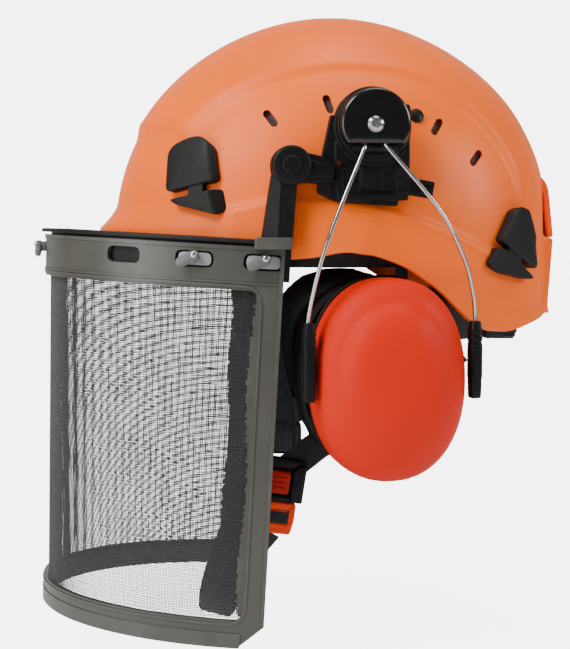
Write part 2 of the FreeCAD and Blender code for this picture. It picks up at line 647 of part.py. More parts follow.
def visor_wall(name, inset, wall, top, bottom, rear="0"):
    """A wall of that half-oval, open to the rear."""
    return cut(name, visor_cone(name + "_out", inset, top, bottom),
               visor_cone(name + "_in", f"({inset}) + ({wall})", f"({top}) + 1", f"({bottom}) - 1"),
               box(name + "_rear", ("-150", rear, "-260"), ("150", "160", "60")))


def around_visor(name, item):
    """The same shape moved from the visor's frame to where the visor hangs."""
    doc.recompute()
    return node(name, feature(name, Part.Shape(item.Shape), visor_place()))


SLOT_ANGLES = (4.8, 21, 40.1, 90, 139.9, 159, 175.2)
LOCKS = {"left_rear": 4.8, "left_middle": 21, "front": 90, "right_middle": 159, "right_rear": 175.2}


def on_visor(angle, inset, level):
    """A place on the visor's wall: x along the wall's normal, z up the wall."""
    wide = size("visor_half_width") - inset
    deep = size("visor_depth") + level * size("visor_taper") - inset
    turn = math.radians(angle)
    point = FreeCAD.Vector(wide * math.cos(turn), -deep * math.sin(turn), level)
    outward = math.degrees(math.atan2(-math.sin(turn) / deep, math.cos(turn) / wide))
    return FreeCAD.Placement(point, FreeCAD.Rotation(Z_AXIS, outward))


def visor_frame():
    """Outer frame with its window and lock slots, the mesh and the carrier with the rain lip."""
    wall = visor_wall("frame_wall_full", "0", "frame_wall", "0", "-visor_height")
    window = box("window", ("-150", "-160", "window_bottom"), ("150", "-side_strip", "window_top"))
    slots = []
    for index, angle in enumerate(SLOT_ANGLES):
        slot = add("Part::Box", f"slot_{index}", Length="12", Width="slot_length", Height="slot_width")
        middle = FreeCAD.Placement(FreeCAD.Vector(-8, -size("slot_length") / 2, -size("slot_width") / 2),
                                   FreeCAD.Rotation())
        slot.Placement = on_visor(angle, 0, size("slot_level")).multiply(middle)
        slots.append(slot)
    corners = feature("corner_cuts", prism([(0.5, -209), (0.5, -230), (-18, -230), (-16, -222.5)], -130, 130))
    around_visor("visor_frame", cut("frame_solid", wall, window, corners, *slots))
    mesh = visor_wall("mesh_wall_full", "frame_wall + 0.1", "mesh_wall", "-21", "window_bottom - 3", "-1")
    around_visor("visor_mesh", mesh)
    rim = visor_wall("carrier_rim", "frame_wall + 0.2", "carrier_wall", "lip_bottom + 1", "-19", "4")
    lip = visor_wall("carrier_lip", "-lip_reach", "lip_reach + lip_depth", "lip_top", "lip_bottom", "4")
    room = oval("lip_room", "shell_half_width + 0.6", "150", "-30", "40", ("0", "-visor_rear"))
    bores = []
    for name, angle in LOCKS.items():
        bore = rod(f"{name}_bore", None, "12", "lever_shaft + running_gap")
        place = on_visor(angle, 0, size("slot_level") + 1)
        inward = FreeCAD.Placement(FreeCAD.Vector(-9, 0, 0), FreeCAD.Rotation(Y_AXIS, 90))
        bore.Placement = place.multiply(inward)
        bores.append(bore)
    around_visor("visor_carrier", cut("carrier_solid", fuse("carrier_full", rim, lip), room, *bores))


def turn_locks():
    """Five levers on short shafts that hold the frame on the carrier."""
    for name, angle in LOCKS.items():
        shaft = rod(f"{name}_shaft", ("-4.9", "0", "0"), "6", "lever_shaft")
        lever = box(f"{name}_lever", ("0.6", "-lever_width / 2", "-lever_width / 2"),
                    ("0.6 + lever_thickness", "lever_length", "lever_width / 2"))
        toe = rod(f"{name}_toe", ("0.6", "lever_length", "0"), "lever_thickness", "lever_width / 2")
        lever_solid = fuse(f"{name}_lock_solid", shaft, lever, toe)
        doc.recompute()
        forward = -1 if angle < 90.5 else 1
        lean = FreeCAD.Rotation(X_AXIS, 207 if forward < 0 else -27)
        place = visor_place().multiply(on_visor(angle, 0, size("slot_level") + 1))
        place = place.multiply(FreeCAD.Placement(FreeCAD.Vector(0, 0, 0), lean))
        node(f"{name}_turn_lock", feature(f"{name}_turn_lock", Part.Shape(lever_solid.Shape), place))


def visor_pivot():
    """Visor mount in the bracket, the forked arm and the hinge pin."""
    low, high = "pivot_rear", "pivot_height"
    tongue = rod("mount_tongue", ("106.6", low, high), "5.6", "pivot_radius - 0.5")
    bar = add("Part::Box", "mount_bar", Length="3.8", Width="80", Height="9.4")
    bar.Placement = mount_line(0, 0, -4.7)
    prongs = add("Part::Box", "prong_gap", Length="10", Width="20", Height="3")
    prongs.Placement = mount_line(-3, 68, -1.5)
    hole = rod("mount_hole", ("100", low, high), "30", "pin_radius + 0.02")
    pair("visor_mount", cut("left_visor_mount", fuse("mount_solid", tongue, bar), prongs, hole))
    shank = rod("pin_shank", ("102.2", low, high), "16.6", "pin_radius")
    head = rod("pin_head", ("117.7", low, high), "1.4", "5")
    twins("hinge_pins", fuse("left_hinge_pin", shank, head))

    ears = rod("arm_ears", ("102.3", low, high), "15.2", "pivot_radius")
    room = rod("arm_fork", ("106.3", low, high), "6.2", "pivot_radius + 3.5")
    stem = add("Part::Box", "arm_stem", Length="arm_thickness", Width="arm_width", Height="38.5")
    stem.Placement = FreeCAD.Placement(FreeCAD.Vector(103.2, -46.6, -1.2), FreeCAD.Rotation(X_AXIS, -6))
    slope = box("arm_foot", ("103.2", "-53", "-1"), ("113.5", "-31", "4"))
    bore = rod("arm_bore", ("100", low, high), "30", "pin_radius + running_gap")
    level = box("arm_level", ("90", "-80", "-30"), ("130", "0", "-1"))
    pair("visor_arm", cut("left_visor_arm", fuse("arm_solid", ears, stem, slope), room, bore, level))


# ---------------------------------------------------------------- chin harness
def side_webbing():
    """The V of webbing from the headband to the divider, and the strap below it."""
    inward = FreeCAD.Vector(0.2, 1, 0)
    stations = [(FreeCAD.Vector(84.5, -52, 0), FreeCAD.Vector(0.45, 1, 0), FreeCAD.Vector(1, -0.45, 0)),
                (FreeCAD.Vector(80, -50, -30), inward, FreeCAD.Vector(1, -0.2, 0)),
                (FreeCAD.Vector(75, -44, -75), inward, FreeCAD.Vector(1, -0.2, 0)),
                (FreeCAD.Vector(75.1, -37.4, -102), inward, FreeCAD.Vector(1, -0.2, 0)),
                (FreeCAD.Vector(75.1, -37.2, -125), inward, FreeCAD.Vector(1, -0.2, 0))]
    twins("front_webbing", feature("left_front_webbing", ribbon(stations, size("webbing_width"),
                                                               size("webbing_thickness"))))
    back = [(FreeCAD.Vector(68, 68, -66), FreeCAD.Vector(0, 0.7, 1), FreeCAD.Vector(1, 0.7, 0)),
            (FreeCAD.Vector(70, 30, -88), FreeCAD.Vector(0, 0.5, 1), FreeCAD.Vector(1, 0.05, 0)),
            (FreeCAD.Vector(71.5, -8, -106), FreeCAD.Vector(0, 0.4, 1), FreeCAD.Vector(1, -0.05, 0)),
            (FreeCAD.Vector(73.2, -23, -113.5), FreeCAD.Vector(0, 0.4, 1), FreeCAD.Vector(1, -0.1, 0))]
    twins("rear_webbing", feature("left_rear_webbing", ribbon(back, size("webbing_width") - 4,
                                                             size("webbing_thickness"))))
    frame = Part.makeBox(6, 26, 18, FreeCAD.Vector(-3, -13, -9))
    slit = Part.makeBox(2.4, 20, 30, FreeCAD.Vector(-1.2, -10, -15))
    place = FreeCAD.Placement(FreeCAD.Vector(75.1, -37.2, -113.5), FreeCAD.Rotation(Z_AXIS, -11))
    twins("strap_dividers", feature("left_strap_divider", frame.cut(slit), place))


def chin_strap():
    """The strap under the chin from one side to the other, and the cup it carries."""
    half = [((74.5, -42.4, -172.6), (0.2, 1, 0)), ((69, -47.5, -190), (0.25, 1, 0)),
            ((52, -57, -216), (0.35, 1, 0.1)),
            ((28, -63, -231), (0.2, 1, 0.1)), ((0, -65, -235), (0, 1, 0.1))]
    other = [((-x, y, z), (-a, b, c)) for (x, y, z), (a, b, c) in reversed(half[:-1])]
    tail = [((-72, -42, -155), (-0.2, 1, 0)), ((-76, -36, -127), (-0.2, 1, 0))]
    route = half + other + tail
    stations = []
    for index, (centre, across) in enumerate(route):
        before = FreeCAD.Vector(*route[max(index - 1, 0)][0])
        after = FreeCAD.Vector(*route[min(index + 1, len(route) - 1)][0])
        along = (after - before).normalize()
        across = FreeCAD.Vector(*across)
        facing = along.cross(across)
        stations.append((FreeCAD.Vector(*centre), across, facing))
    band = ribbon(stations, size("webbing_width"), size("webbing_thickness"))
    node("chin_strap", feature("chin_strap", band))


def buckle():
    """Side-release buckle: case, spring button and the tongue that it holds."""
    lean = FreeCAD.Rotation(FreeCAD.Vector(1, -0.35, 0), -9)
    place = FreeCAD.Placement(FreeCAD.Vector(77.5, -36.5, -140), lean)
    thick, long, wide = size("buckle_thickness"), size("buckle_length"), size("buckle_width")
    case = Part.makeBox(thick, wide, long, FreeCAD.Vector(-thick / 2, -wide / 2, -long / 2))
    case = case.makeFillet(2, case.Edges)
    button_room = Part.makeBox(4.6, size("button_width") + 0.6, size("button_length") + 0.6,
                               FreeCAD.Vector(1.2, -size("button_width") / 2 - 0.3, -size("button_length") / 2 - 0.3))
    tongue_room = Part.makeBox(4.6, 18.6, 13.5, FreeCAD.Vector(-3.6, -9.3, -long / 2 - 1))
    strap_room = Part.makeBox(2.6, 19, 6, FreeCAD.Vector(-1.3, -9.5, long / 2 - 5))
    node("buckle_body", feature("buckle_body", case.cut(button_room).cut(tongue_room).cut(strap_room), place))
    button = Part.makeBox(4, size("button_width"), size("button_length"),
                          FreeCAD.Vector(3.6, -size("button_width") / 2, -size("button_length") / 2))
    node("buckle_button", feature("buckle_button", button.makeFillet(1, button.Edges), place))
    blade = Part.makeBox(3.4, 18, 12, FreeCAD.Vector(-3, -9, -long / 2 - 0.5))
    neck = Part.makeBox(size("tongue_thickness"), size("tongue_width"), size("tongue_length"),
                        FreeCAD.Vector(-3.3, -size("tongue_width") / 2, -long / 2 - 0.4 - size("tongue_length")))
    window = Part.makeBox(10, 19.5, 6, FreeCAD.Vector(-5, -9.75, -long / 2 - size("tongue_length") + 3))
    node("buckle_tongue", feature("buckle_tongue", blade.fuse(neck).cut(window), place))


def build():
    """Make every sub-part."""
    shell()
    lamp_clips()
    rear_hook()
    shell_plugs()
    headband()
    nape()
    fit_wheel()
    crown()
    bracket()
    hub()
    wire_arms()
    sleeves()
    cup()
    visor_frame()
    turn_locks()
    visor_pivot()
    side_webbing()
    chin_strap()
    buckle()


def write():
    """Check every object and write each sub-part to its own file."""
    doc.recompute()
    failed = [item.Name for item in doc.Objects if {"Invalid", "Error"} & set(item.State)]
    broken = [item.Label for item in NODES if item.Shape.isNull() or not item.Shape.isValid()]
    if failed or broken:
        raise SystemExit(f"failed objects {failed}, broken shapes {broken}")
    os.makedirs("parts", exist_ok=True)
    for item in NODES:
        item.Shape.exportStep(f"parts/{item.Label}.step")
        print(f"{item.Label:26s} solids {len(item.Shape.Solids)}  volume {item.Shape.Volume / 1000:9.2f} cm3")
    print(len(NODES), "nodes")


build()
write()
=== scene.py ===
"""The looks of a forestry helmet: shell, mesh visor, ear muffs and chin harness."""

import math

import bmesh
import bpy
import numpy as np
from mathutils import Matrix, Vector
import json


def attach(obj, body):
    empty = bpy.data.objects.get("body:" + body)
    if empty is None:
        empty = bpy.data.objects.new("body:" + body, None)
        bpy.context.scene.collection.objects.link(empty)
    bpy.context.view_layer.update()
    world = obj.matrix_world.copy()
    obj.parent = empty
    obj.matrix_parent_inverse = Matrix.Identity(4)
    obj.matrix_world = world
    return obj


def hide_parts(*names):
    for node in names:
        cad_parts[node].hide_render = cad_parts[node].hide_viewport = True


MM = 0.001

SHELL_HALF_WIDTH = 105.0
SHELL_HALF_LENGTH = 133.0
SHELL_WALL = 3.0
LOWER_EDGE = [(-150, 0), (-118, -3), (-80, -9), (-45, -13.5), (-22, -12), (-4, -8.6), (14, -11), (30, -17),
              (50, -30), (68, -47), (80, -54), (97, -55.5), (130, -47), (150, -45)]
CAP_EDGE = [(-133, 62), (-83.7, 66.6), (-51.9, 71.7), (-20.8, 73.8), (10.7, 74), (42.6, 70.1), (75.2, 68.6),
            (93.3, 65.2), (104.9, 62.8), (133, 58)]
SKIRT_RIDGE = [(-69.9, 13.9), (-45.4, 19.8), (-27.5, 20.9), (-1.7, 19), (20, 15), (39, 9.6), (69, -2),
               (81, -9)]
VENTS = [(-43.5, 65.7, 34), (-11.2, 73.7, 16), (51.2, 61.7, -32), (74.8, 44.5, -40)]
VENT_LENGTH = 11.0
VENT_WIDTH = 4.5
PLUG = (39, 67.5)

VISOR_ORIGIN = (0, -37, -6.6)
VISOR_LEAN = math.radians(3.3)
VISOR_HALF_WIDTH = 107.0
VISOR_REACH = 138.5
VISOR_FLARE = 0.0411
VISOR_HEIGHT = 224.0
FRAME_WALL = 3.0
WINDOW_TOP = -24.5
WINDOW_BOTTOM = -208.5
SIDE_STRIP = 14.0
SLOT_LEVEL = -8.7
SLOT_ANGLES = [4.8, 21, 40.1, 90, 139.9, 159, 175.2]
LOCK_ANGLES = {"left_rear": 4.8, "left_middle": 21, "front": 90, "right_middle": 159, "right_rear": 175.2}
WIRE_PITCH = 1.0
MESH_SEED = 11
MESH_TOP = -21.0
MESH_BOTTOM = -211.5
MESH_MARGIN = 5
LEVER_LEAN = math.radians(27)
UPRIGHT_WIRE = 0.4
LEVEL_WIRE = 0.46

CUP_ORIGIN = (97, 18.6, -76)
CUP_TURN = math.radians(8)
CUP_HALF_LENGTH = 42.4
CUP_HALF_HEIGHT = 55.0

HUB_MIDDLE = (10.4, 60.0)
PIVOT = (-34.4, 38.2)
BAR_SLOPE = math.radians(-9.6)
SLEEVE_REACH = 47.5
SLEEVE_OUT = 19
BUCKLE_ORIGIN = (77.5, -36.5, -140)
WIRE_FRONT = [(118.2, 5.0, 49.2), (119.7, 3.6, 45), (125, -10.7, 11.2), (126, -20, -15.6)]
WIRE_REAR = [(118.2, 16.0, 49.6), (119.7, 19.6, 45), (121, 46, 13.5), (116, 60.3, -12), (112, 66, -29.5)]

# The stage is in metres.
FLOOR_LEVEL = -0.252
FLOOR_GLOW = 5.0
CAMERA_PLACE = (0.8767, -0.1047, 0)
CAMERA_LENS = 78.1
CAMERA_AZIMUTH = math.radians(5)
CAMERA_PITCH = math.radians(3.6)


# ---------------------------------------------------------------- shapes
def smoothstep(value):
    t = np.clip(value, 0.0, 1.0)
    return t * t * (3 - 2 * t)


def joined(*shapes):
    """One shape out of several; a shape is (points in millimetres, faces)."""
    points, faces, start = [], [], 0
    for shape_points, shape_faces in shapes:
        points.append(np.asarray(shape_points, float).reshape(-1, 3))
        faces += [tuple(start + i for i in face) for face in shape_faces]
        start += len(points[-1])
    return np.vstack(points), faces


def moved(shape, matrix):
    points = np.asarray(shape[0], float)
    turn = np.array(matrix.to_3x3())
    return points @ turn.T + np.array(matrix.translation), shape[1]


def mirrored(shape):
    return np.asarray(shape[0], float) * (-1, 1, 1), [tuple(reversed(face)) for face in shape[1]]


def grid(rows, round_rows=True, closed=False, start_cap=False, end_cap=False):
    """Faces over rows of points. round_rows joins each row's ends, closed joins the last row to the first."""
    rows = np.asarray(rows, float)
    count, width = rows.shape[:2]
    faces = []
    for row in range(count if closed else count - 1):
        after = (row + 1) % count
        for column in range(width if round_rows else width - 1):
            beside = (column + 1) % width
            faces.append((row * width + column, row * width + beside, after * width + beside,
                          after * width + column))
    if start_cap:
        faces.append(tuple(range(width - 1, -1, -1)))
    if end_cap:
        faces.append(tuple((count - 1) * width + i for i in range(width)))
    return rows.reshape(-1, 3), faces


def rounded(points, radius, steps=5, closed=True):
    """A polyline with its corners rounded."""
    points = [np.asarray(p, float) for p in points]
    out = []
    for index, corner in enumerate(points):
        if not closed and index in (0, len(points) - 1):
            out.append(corner)
            continue
        before, after = points[index - 1] - corner, points[(index + 1) % len(points)] - corner
        reach = min(radius, np.linalg.norm(before) * 0.45, np.linalg.norm(after) * 0.45)
        start = corner + before / np.linalg.norm(before) * reach
        end = corner + after / np.linalg.norm(after) * reach
        for t in np.linspace(0, 1, steps):
            out.append((1 - t) ** 2 * start + 2 * t * (1 - t) * corner + t * t * end)
    return np.array(out)


def inset(outline, distance):
    """A closed flat outline moved inwards."""
    outline = np.asarray(outline, float)
    before, after = np.roll(outline, 1, axis=0), np.roll(outline, -1, axis=0)
    along = after - before
    along /= np.linalg.norm(along, axis=1)[:, None] + 1e-9
    inward = np.stack([-along[:, 1], along[:, 0]], axis=1)
    area = np.sum(outline[:, 0] * after[:, 1] - after[:, 0] * outline[:, 1])
    return outline + inward * distance * (1 if area > 0 else -1)


def slab(outline, thickness, bevel=0.6, steps=3):
    """A plate with rounded edges: a flat outline, thickened along +Z."""
    outline = np.asarray(outline, float)
    area = np.sum(outline[:, 0] * np.roll(outline[:, 1], -1) - np.roll(outline[:, 0], -1) * outline[:, 1])
    if area < 0:
        outline = outline[::-1]
    angles = np.linspace(0, math.pi / 2, steps + 1)
    rows = [(bevel * (1 - math.sin(a)), bevel * (1 - math.cos(a))) for a in angles]
    rows += [(bevel * (1 - math.cos(a)), thickness - bevel * (1 - math.sin(a))) for a in angles]
    rings = []
    for back, level in rows:
        ring = inset(outline, back)
        rings.append(np.column_stack([ring, np.full(len(ring), level)]))
    return grid(rings, start_cap=True, end_cap=True)


def circle(radius, steps=40, centre=(0, 0), start=0, end=360):
    angles = np.radians(np.linspace(start, end, steps, endpoint=abs(end - start) < 360))
    return np.column_stack([centre[0] + radius * np.cos(angles), centre[1] + radius * np.sin(angles)])


def on_side(x, rear=0, height=0):
    """Puts a flat shape's X and Y on the helmet's Y and Z, thickened outwards from x."""
    return Matrix(((0, 0, 1, x), (1, 0, 0, rear), (0, 1, 0, height), (0, 0, 0, 1)))


def side_plate(outline, low, high, bevel=0.6, steps=3):
    """A plate standing on the helmet's left side, from an outline in (Y, Z)."""
    return moved(slab(outline, high - low, bevel, steps), on_side(low))


def lathe(profile, steps=48):
    """A turned shape round Z, from (radius, height) pairs."""
    angles = np.radians(np.arange(steps) * 360 / steps)
    rows = [np.column_stack([r * np.cos(angles), r * np.sin(angles), np.full(steps, h)]) for r, h in profile]
    return grid(rows, start_cap=True, end_cap=True)


def sweep(path, profile, across, closed=False):
    """Carries a flat profile along a path. across is the profile's first axis at each point."""
    path = np.asarray(path, float)
    across = np.broadcast_to(np.asarray(across, float), path.shape)
    if closed:
        along = np.roll(path, -1, axis=0) - np.roll(path, 1, axis=0)
    else:
        along = np.gradient(path, axis=0)
    along /= np.linalg.norm(along, axis=1)[:, None]
    side = across - along * np.sum(across * along, axis=1)[:, None]
    side /= np.linalg.norm(side, axis=1)[:, None]
    out = np.cross(along, side)
    profile = np.asarray(profile, float)
    if profile.ndim == 2:
        profile = np.broadcast_to(profile, (len(path), *profile.shape))
    rows = path[:, None] + side[:, None] * profile[:, :, :1] + out[:, None] * profile[:, :, 1:]
    return grid(rows, closed=closed, start_cap=not closed, end_cap=not closed)


def smooth_path(points, spacing):
    """A Catmull-Rom curve through points, evenly spaced."""
    points = np.asarray(points, float)
    ends = np.vstack([2 * points[0] - points[1], points, 2 * points[-1] - points[-2]])
    out = []
    for i in range(1, len(ends) - 2):
        a, b, c, d = ends[i - 1:i + 3]
        for t in np.linspace(0, 1, 24, endpoint=False):
            out.append(0.5 * (2 * b + (c - a) * t + (2 * a - 5 * b + 4 * c - d) * t ** 2
                              + (3 * b - a - 3 * c + d) * t ** 3))
    out.append(points[-1])
    return evenly(out, spacing)


def evenly(points, spacing):
    points = np.asarray(points, float)
    length = np.concatenate([[0], np.cumsum(np.linalg.norm(np.diff(points, axis=0), axis=1))])
    stops = np.linspace(0, length[-1], max(2, int(round(length[-1] / spacing)) + 1))
    return np.column_stack([np.interp(stops, length, points[:, i]) for i in range(points.shape[1])])


def made(name, shape, sharp=38):
    """The object for a shape."""
    points, faces = shape
    mesh = bpy.data.meshes.new(name)
    mesh.from_pydata((np.asarray(points, float) * MM).tolist(), [], faces)
    mesh.validate()
    edit = bmesh.new()
    edit.from_mesh(mesh)
    bmesh.ops.recalc_face_normals(edit, faces=edit.faces)
    edit.to_mesh(mesh)
    edit.free()
    soften(mesh, sharp)
    piece = bpy.data.objects.new(name, mesh)
    bpy.context.scene.collection.objects.link(piece)
    return piece


def soften(mesh, sharp):
    mesh.polygons.foreach_set("use_smooth", [True] * len(mesh.polygons))
    mesh.set_sharp_from_angle(angle=math.radians(sharp))


def carved(piece, cutter_shape, sharp=38):
    """Cuts a shape out of a piece, with the result applied."""
    cutter = made("cutter", cutter_shape)
    cutting = piece.modifiers.new("cut", "BOOLEAN")
    cutting.operation = "DIFFERENCE"
    cutting.solver = "EXACT"
    cutting.object = cutter
    applied(piece, sharp)
    bpy.data.objects.remove(cutter)
    return piece


def applied(piece, sharp=38):
    graph = bpy.context.evaluated_depsgraph_get()
    mesh = bpy.data.meshes.new_from_object(piece.evaluated_get(graph))
    old = piece.data
    piece.modifiers.clear()
    piece.data = mesh
    bpy.data.meshes.remove(old)
    soften(mesh, sharp)
    return piece


def subdivided(piece, sharp):
    detail = piece.modifiers.new("soft", "SUBSURF")
    detail.levels = 1
    detail.render_levels = 1
    applied(piece, sharp)


def set_up(piece, body, look, slot, *nodes):
    """Gives a piece its material, its body and the CAD nodes it stands for; slot is not used."""
    piece.data.materials.clear()
    piece.data.materials.append(look)
    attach(piece, body)
    if nodes:
        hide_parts(*nodes)
    return piece


def both_sides(name, shape, body, look, slot, node=None, sharp=38):
    """The left piece and its mirror image."""
    pieces = []
    for side in ("left", "right"):
        side_shape = shape if side == "left" else mirrored(shape)
        piece = made(f"{side}_{name}", side_shape, sharp)
        on = body if body in ("helmet", "visor") else f"{side}_{body}"
        set_up(piece, on, look, slot, *([f"{side}_{node}"] if node else []))
        pieces.append(piece)
    return pieces


# ---------------------------------------------------------------- materials
class Look:
    """A node material under construction."""

    def __init__(self, name):
        self.material = bpy.data.materials.new(name)
        self.material.use_nodes = True
        self.tree = self.material.node_tree
        self.shader = self.tree.nodes["Principled BSDF"]
        self.place = self.add("ShaderNodeTexCoord").outputs["Object"]

    def add(self, kind, **settings):
        node = self.tree.nodes.new(kind)
        for key, value in settings.items():
            setattr(node, key, value)
        return node

    def link(self, source, target):
        self.tree.links.new(source, target)

    def stretched(self, scale):
        node = self.add("ShaderNodeMapping")
        node.inputs["Scale"].default_value = scale
        self.link(self.place, node.inputs["Vector"])
        return node.outputs["Vector"]

    def noise(self, scale, detail=3.0, stretch=None):
        node = self.add("ShaderNodeTexNoise")
        node.inputs["Scale"].default_value = scale
        node.inputs["Detail"].default_value = detail
        self.link(self.stretched(stretch) if stretch else self.place, node.inputs["Vector"])
        return node.outputs["Fac"]

    def between(self, value, low, high, start=0.3, end=0.7):
        node = self.add("ShaderNodeMapRange")
        node.inputs["From Min"].default_value = start
        node.inputs["From Max"].default_value = end
        node.inputs["To Min"].default_value = low
        node.inputs["To Max"].default_value = high
        self.link(value, node.inputs["Value"])
        return node.outputs["Result"]

    def times(self, a, b, operation="MULTIPLY"):
        node = self.add("ShaderNodeMath", operation=operation)
        self.link(a, node.inputs[0])
        if isinstance(b, (int, float)):
            node.inputs[1].default_value = b
        else:
            self.link(b, node.inputs[1])
        return node.outputs[0]

    def mixed(self, factor, colour_a, colour_b):
        node = self.add("ShaderNodeMix", data_type="RGBA")
        self.link(factor, node.inputs[0])
        for socket, colour in ((node.inputs[6], colour_a), (node.inputs[7], colour_b)):
            if isinstance(colour, tuple):
                socket.default_value = (*colour, 1)
            else:
                self.link(colour, socket)
        return node.outputs[2]

    def worn_edges(self, start=0.52, end=0.6):
        geometry = self.add("ShaderNodeNewGeometry")
        patchy = self.between(self.noise(60, 5), 0, 1, 0.4, 0.65)
        return self.times(self.between(geometry.outputs["Pointiness"], 0, 1, start, end), patchy)

    def bumps(self, heights, edge=0.0):
        """Chains bump nodes for (height, strength, distance) triples, over softly rounded edges."""
        normal = None
        if edge:
            bevel = self.add("ShaderNodeBevel", samples=4)
            bevel.inputs["Radius"].default_value = edge * MM
            normal = bevel.outputs["Normal"]
        for height, strength, distance in heights:
            node = self.add("ShaderNodeBump")
            node.inputs["Strength"].default_value = strength
            node.inputs["Distance"].default_value = distance * MM
            self.link(height, node.inputs["Height"])
            if normal:
                self.link(normal, node.inputs["Normal"])
            normal = node.outputs["Normal"]
        self.link(normal, self.shader.inputs["Normal"])

    def set(self, **values):
        for key, value in values.items():
            self.shader.inputs[key.replace("_", " ")].default_value = value


def plastic(name, colour, roughness, shade=0.82, grain=(900, 0.25), coat=0.0, edge=0.5, worn=0.25,
            scatter=0.0, shine=0.5):
    """Moulded plastic: fine grain, cloudy roughness, faint scuffs, and paler worn edges."""
    look = Look(name)
    dark = tuple(c * shade for c in colour)
    pale = tuple(min(1, c * 1.3 + 0.03) for c in colour)
    cloudy = look.between(look.noise(22, 4), 0, 1)
    base = look.mixed(cloudy, dark, colour)
    worn_mask = look.times(look.worn_edges(), worn)
    look.link(look.mixed(worn_mask, base, pale), look.shader.inputs["Base Color"])
    smears = look.between(look.noise(35, 6, (1, 1, 0.35)), roughness * 0.82, roughness * 1.2)
    scuffs = look.between(look.noise(160, 8, (0.25, 1, 1.6)), 0, 0.12, 0.62, 0.7)
    look.link(look.times(smears, scuffs, "ADD"), look.shader.inputs["Roughness"])
    look.bumps([(look.noise(grain[0], 2), grain[1], 0.12), (look.noise(45, 3), 0.05, 0.6)], edge)
    look.set(Coat_Weight=coat, Coat_Roughness=0.12, IOR=1.49, Specular_IOR_Level=shine)
    if scatter:
        look.set(Subsurface_Weight=scatter, Subsurface_Scale=0.004)
    return look.material


def steel(name, colour=(0.72, 0.72, 0.73), roughness=0.2):
    """Bright drawn steel with fine drawing lines and dull specks."""
    look = Look(name)
    look.link(look.mixed(look.between(look.noise(90, 5), 0, 1, 0.45, 0.7), colour,
                         tuple(c * 0.72 for c in colour)),
              look.shader.inputs["Base Color"])
    lines = look.noise(700, 3, (1, 1, 0.05))
    look.link(look.between(lines, roughness * 0.7, roughness * 1.6), look.shader.inputs["Roughness"])
    look.bumps([(lines, 0.04, 0.05)], 0.3)
    look.set(Metallic=1.0)
    return look.material


def wire_paint():
    """Black coating on woven wire, dull, with specks of bare wire."""
    look = Look("wire_paint")
    bare = look.between(look.noise(900, 4), 0, 0.5, 0.64, 0.72)
    look.link(look.mixed(bare, (0.045, 0.045, 0.045), (0.25, 0.25, 0.25)), look.shader.inputs["Base Color"])
    look.link(look.between(look.noise(300, 3), 0.42, 0.62), look.shader.inputs["Roughness"])
    look.set(Metallic=0.2)
    return look.material


def cloth(name, colour, thread=650, fuzz=0.35):
    """Woven nylon or lining: crossed threads, a soft sheen, and dusty patches."""
    look = Look(name)
    threads = []
    for direction in ("X", "Y", "Z"):
        wave = look.add("ShaderNodeTexWave", wave_type="BANDS", bands_direction=direction)
        wave.inputs["Scale"].default_value = thread
        wave.inputs["Distortion"].default_value = 1.2
        wave.inputs["Detail"].default_value = 2
        look.link(look.place, wave.inputs["Vector"])
        threads.append(wave.outputs["Fac"])
    weave = look.times(look.times(threads[0], threads[1], "ADD"), threads[2], "ADD")
    dusty = look.between(look.noise(30, 5), 0, 1)
    pale = tuple(c * 1.8 + 0.002 for c in colour)
    shaded = look.mixed(dusty, colour, pale)
    look.link(look.mixed(look.between(weave, 0.5, 0, 0.6, 1.6), shaded, tuple(c * 0.4 for c in colour)),
              look.shader.inputs["Base Color"])
    look.link(look.between(dusty, 0.72, 0.92, 0, 1), look.shader.inputs["Roughness"])
    look.bumps([(weave, 0.35, 0.15), (look.noise(1400, 2), 0.3, 0.1)])
    look.set(Sheen_Weight=fuzz, Sheen_Roughness=0.5)
    return look.material


def leatherette(name, colour, roughness=0.42):
    """Soft cushion skin: pebbled cells, fine creases, and a dull shine."""
    look = Look(name)
    cells = look.add("ShaderNodeTexVoronoi", feature="DISTANCE_TO_EDGE")
    cells.inputs["Scale"].default_value = 620
    look.link(look.place, cells.inputs["Vector"])
    creases = look.noise(40, 6, (1, 1, 0.3))
    look.link(look.mixed(look.between(creases, 0, 1), colour, tuple(c * 1.8 + 0.001 for c in colour)),
              look.shader.inputs["Base Color"])
    look.link(look.between(creases, roughness * 0.8, roughness * 1.25), look.shader.inputs["Roughness"])
    look.bumps([(look.between(cells.outputs["Distance"], 0, 1, 0, 0.25), 0.25, 0.12), (creases, 0.25, 0.8)])
    look.set(Specular_IOR_Level=0.25)
    return look.material


def sponge(name, colour):
    """Open-cell foam: pits of two sizes, darkened in their middles with painted shade."""
    look = Look(name)
    pits = look.add("ShaderNodeTexVoronoi")
    pits.inputs["Scale"].default_value = 480
    look.link(look.place, pits.inputs["Vector"])
    # painted shade: each pit's middle is darkened to a third of the foam's colour
    deep = look.between(pits.outputs["Distance"], 0, 1, 0.1, 0.6)
    look.link(look.mixed(deep, tuple(c * 0.3 for c in colour), colour), look.shader.inputs["Base Color"])
    look.link(look.between(look.noise(200, 3), 0.85, 1.0), look.shader.inputs["Roughness"])
    look.bumps([(deep, 0.8, 0.8)])
    return look.material


